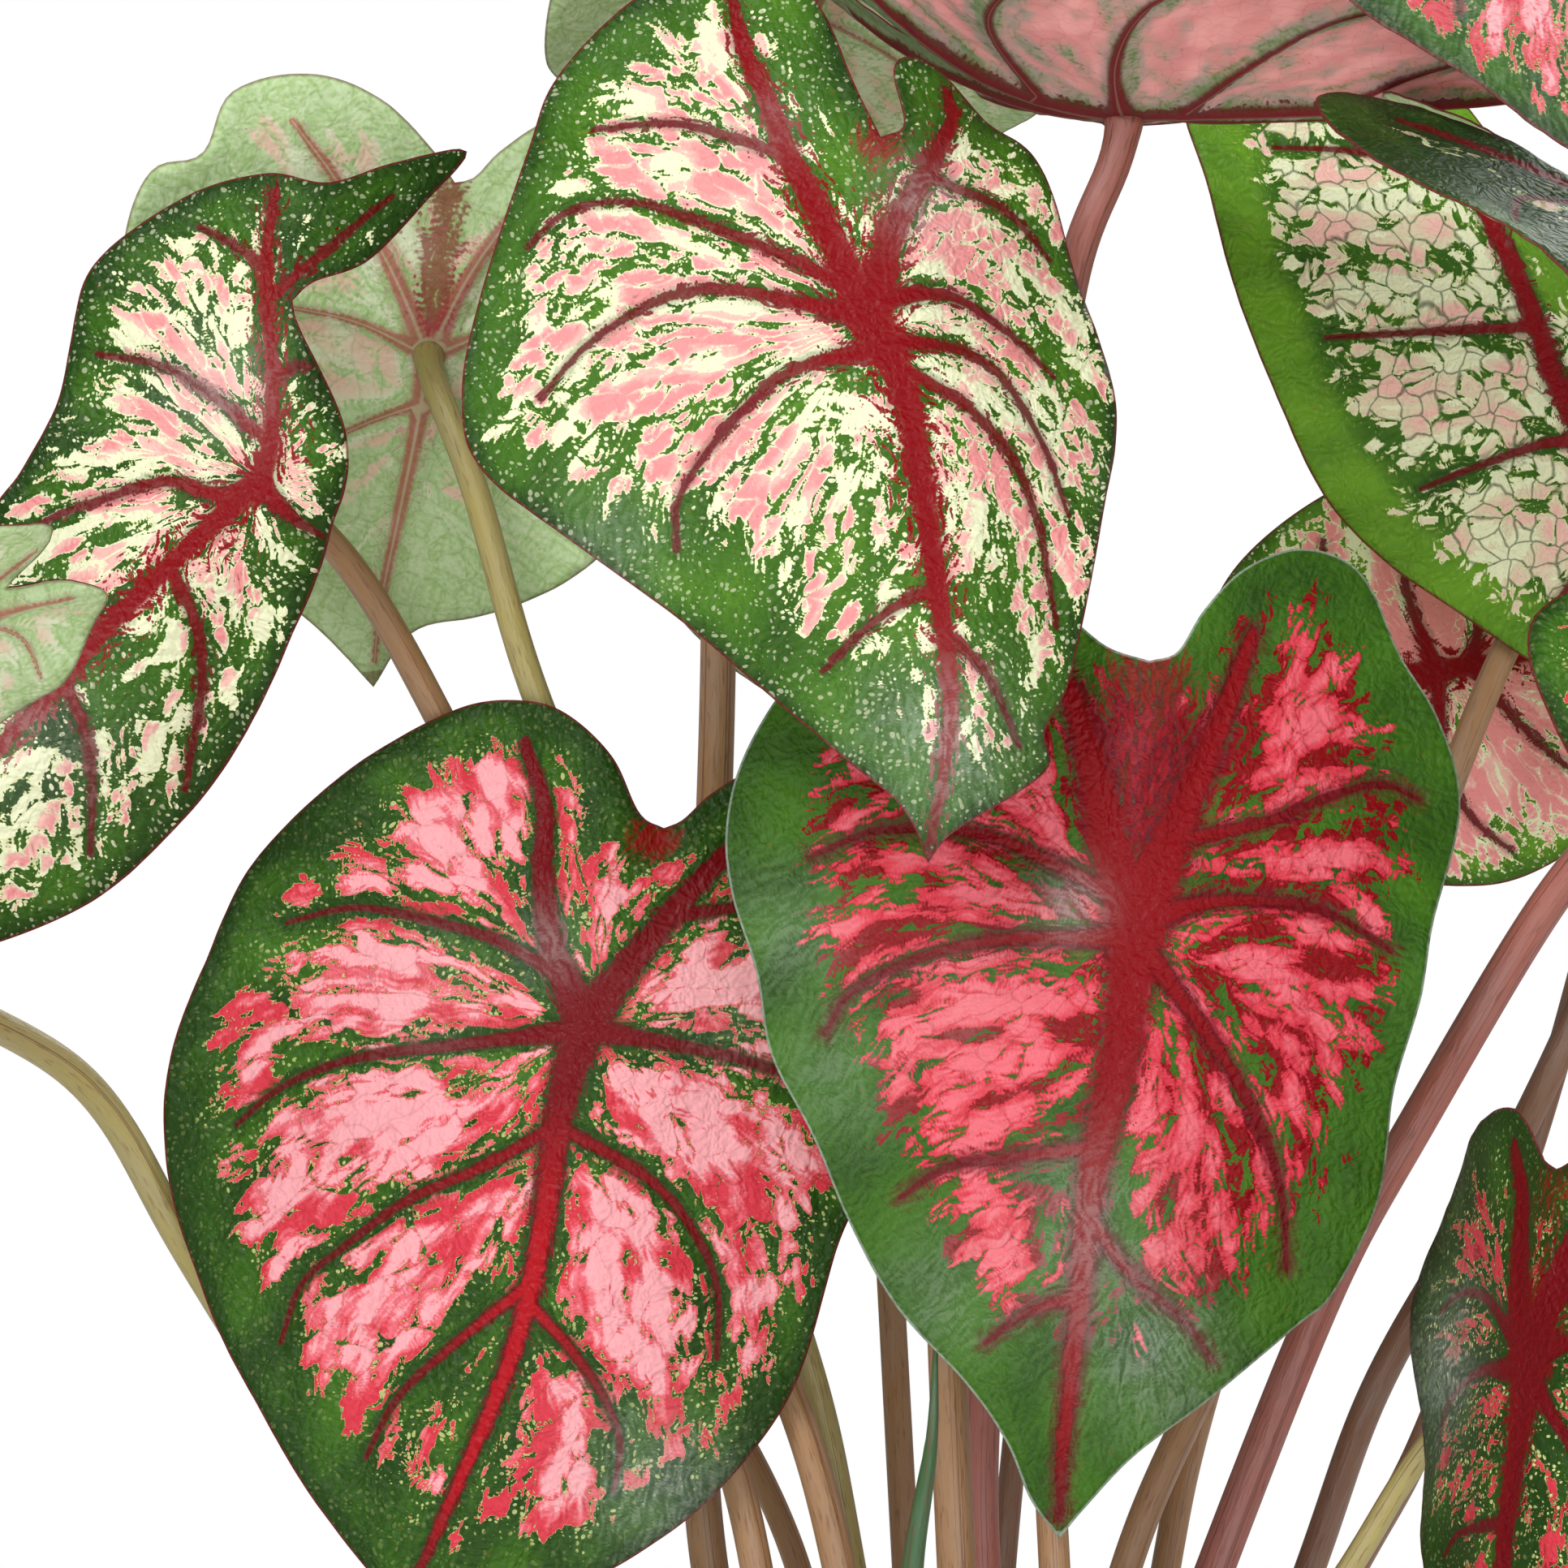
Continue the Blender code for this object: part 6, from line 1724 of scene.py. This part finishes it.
class CALADIUM_OT_pot(bpy.types.Operator):
    """Build the clay pot with its rolled rim and drain holes"""

    bl_idname = "caladium.pot"
    bl_label = "Build Pot"

    def execute(self, context):
        sizes = context.scene.caladium_pot
        place_piece("clay_pot", pot_mesh(sizes), "pot", "terracotta", clay_material(sizes))
        return {"FINISHED"}


class CALADIUM_OT_soil(bpy.types.Operator):
    """Build the soil with its loose crumbs"""

    bl_idname = "caladium.soil"
    bl_label = "Build Soil"

    def execute(self, context):
        sizes = context.scene.caladium_pot
        place_piece("potting_soil", soil_mesh(sizes), "soil", "soil", soil_material(sizes))
        return {"FINISHED"}


class CALADIUM_OT_tuber(bpy.types.Operator):
    """Give the tuber in the soil its skin"""

    bl_idname = "caladium.tuber"
    bl_label = "Finish Tuber"

    def execute(self, context):
        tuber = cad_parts["tuber"]
        skin = tuber_material(context.scene.caladium_pot)
        for slot in tuber.material_slots:
            slot.material = skin
        return {"FINISHED"}


def add_light(name, place, size, power):
    """Add a soft square light that points at the middle of the plant."""
    light = bpy.data.lights.new(name, "AREA")
    light.size = size
    light.energy = power
    made = bpy.data.objects.new(name, light)
    made.location = place
    made.rotation_euler = (CAMERA_AIM - Vector(place)).to_track_quat("-Z", "Y").to_euler()
    bpy.context.scene.collection.objects.link(made)


class CALADIUM_OT_stage(bpy.types.Operator):
    """Set up the floor, the lights, the white surround and the camera"""

    bl_idname = "caladium.stage"
    bl_label = "Set Up Stage"

    def execute(self, context):
        sizes = context.scene.caladium_stage
        shape = bmesh.new()
        bmesh.ops.create_circle(shape, cap_ends=True, segments=96, radius=sizes.floor_radius)
        mesh = bpy.data.meshes.new("floor")
        shape.to_mesh(mesh)
        shape.free()
        material, graph, surface = new_material("floor")
        place = graph.node("TexCoord").outputs["Object"]
        tone = graph.math("MULTIPLY", graph.noise(place, 6.0, 2.0), 0.02)
        graph.put(surface.inputs["Roughness"], graph.add(0.7, tone))
        graph.put(surface.inputs["Base Color"], sizes.floor)
        mesh.materials.append(material)
        floor = bpy.data.objects.new("floor", mesh)
        context.scene.collection.objects.link(floor)

        world = bpy.data.worlds.new("studio")
        world.use_nodes = True
        graph = Graph(world.node_tree)
        seen = world.node_tree.nodes["Background"]
        seen.inputs["Color"].default_value = (1, 1, 1, 1)
        around = graph.node("Background", {"Color": (1, 1, 1), "Strength": sizes.surround})
        both = graph.node("MixShader", {0: graph.node("LightPath").outputs["Is Camera Ray"]})
        graph.put(both.inputs[1], around.outputs[0])
        graph.put(both.inputs[2], seen.outputs[0])
        graph.put(world.node_tree.nodes["World Output"].inputs["Surface"], both.outputs[0])
        context.scene.world = world
        context.scene.view_settings.view_transform = "Standard"

        for name, place, size in LIGHTS:
            add_light(name, place, size, getattr(sizes, name + "_power"))

        lens = bpy.data.cameras.new("camera")
        lens.sensor_width = SENSOR_WIDTH
        lens.lens = SENSOR_WIDTH * CAMERA_DISTANCE / VIEW_WIDTH
        camera = bpy.data.objects.new("camera", lens)
        down = math.radians(CAMERA_ELEVATION)
        camera.location = CAMERA_AIM + CAMERA_DISTANCE * Vector((0, -math.cos(down), math.sin(down)))
        camera.rotation_euler = (math.radians(90) - down, 0, 0)
        context.scene.collection.objects.link(camera)
        context.scene.camera = camera
        return {"FINISHED"}


class CALADIUM_PT_panel(bpy.types.Panel):
    """Lists the steps that build the caladium, with their settings"""

    bl_idname = "CALADIUM_PT_panel"
    bl_label = "Potted Caladium"
    bl_space_type = "VIEW_3D"
    bl_region_type = "UI"
    bl_category = "Caladium"

    def draw(self, context):
        for step in OPERATORS:
            self.layout.operator(step.bl_idname)
        for name in GROUPS:
            box = self.layout.box()
            settings = getattr(context.scene, name)
            for key in settings.bl_rna.properties.keys():
                if key not in ("rna_type", "name"):
                    box.prop(settings, key)


OPERATORS = [
    CALADIUM_OT_stage,
    CALADIUM_OT_blades,
    CALADIUM_OT_stalks,
    CALADIUM_OT_new_leaf,
    CALADIUM_OT_pot,
    CALADIUM_OT_soil,
    CALADIUM_OT_tuber,
]
GROUPS = {
    "caladium_blades": CALADIUM_PG_blades,
    "caladium_colours": CALADIUM_PG_colours,
    "caladium_stalks": CALADIUM_PG_stalks,
    "caladium_pot": CALADIUM_PG_pot,
    "caladium_stage": CALADIUM_PG_stage,
}


def register():
    """Add the settings, the operators and the panel to Blender."""
    for settings in GROUPS.values():
        bpy.utils.register_class(settings)
    for step in OPERATORS + [CALADIUM_PT_panel]:
        bpy.utils.register_class(step)
    for name, settings in GROUPS.items():
        setattr(bpy.types.Scene, name, PointerProperty(type=settings))


def unregister():
    """Take them out again."""
    for name in GROUPS:
        delattr(bpy.types.Scene, name)
    for step in [CALADIUM_PT_panel] + OPERATORS[::-1]:
        bpy.utils.unregister_class(step)
    for settings in GROUPS.values():
        bpy.utils.unregister_class(settings)


def main():
    """Build the whole plant."""
    register()
    build_groups()
    bpy.ops.caladium.stage()
    bpy.ops.caladium.blades()
    bpy.ops.caladium.stalks()
    bpy.ops.caladium.new_leaf()
    bpy.ops.caladium.pot()
    bpy.ops.caladium.soil()
    bpy.ops.caladium.tuber()


if __name__ == "__main__":
    main()
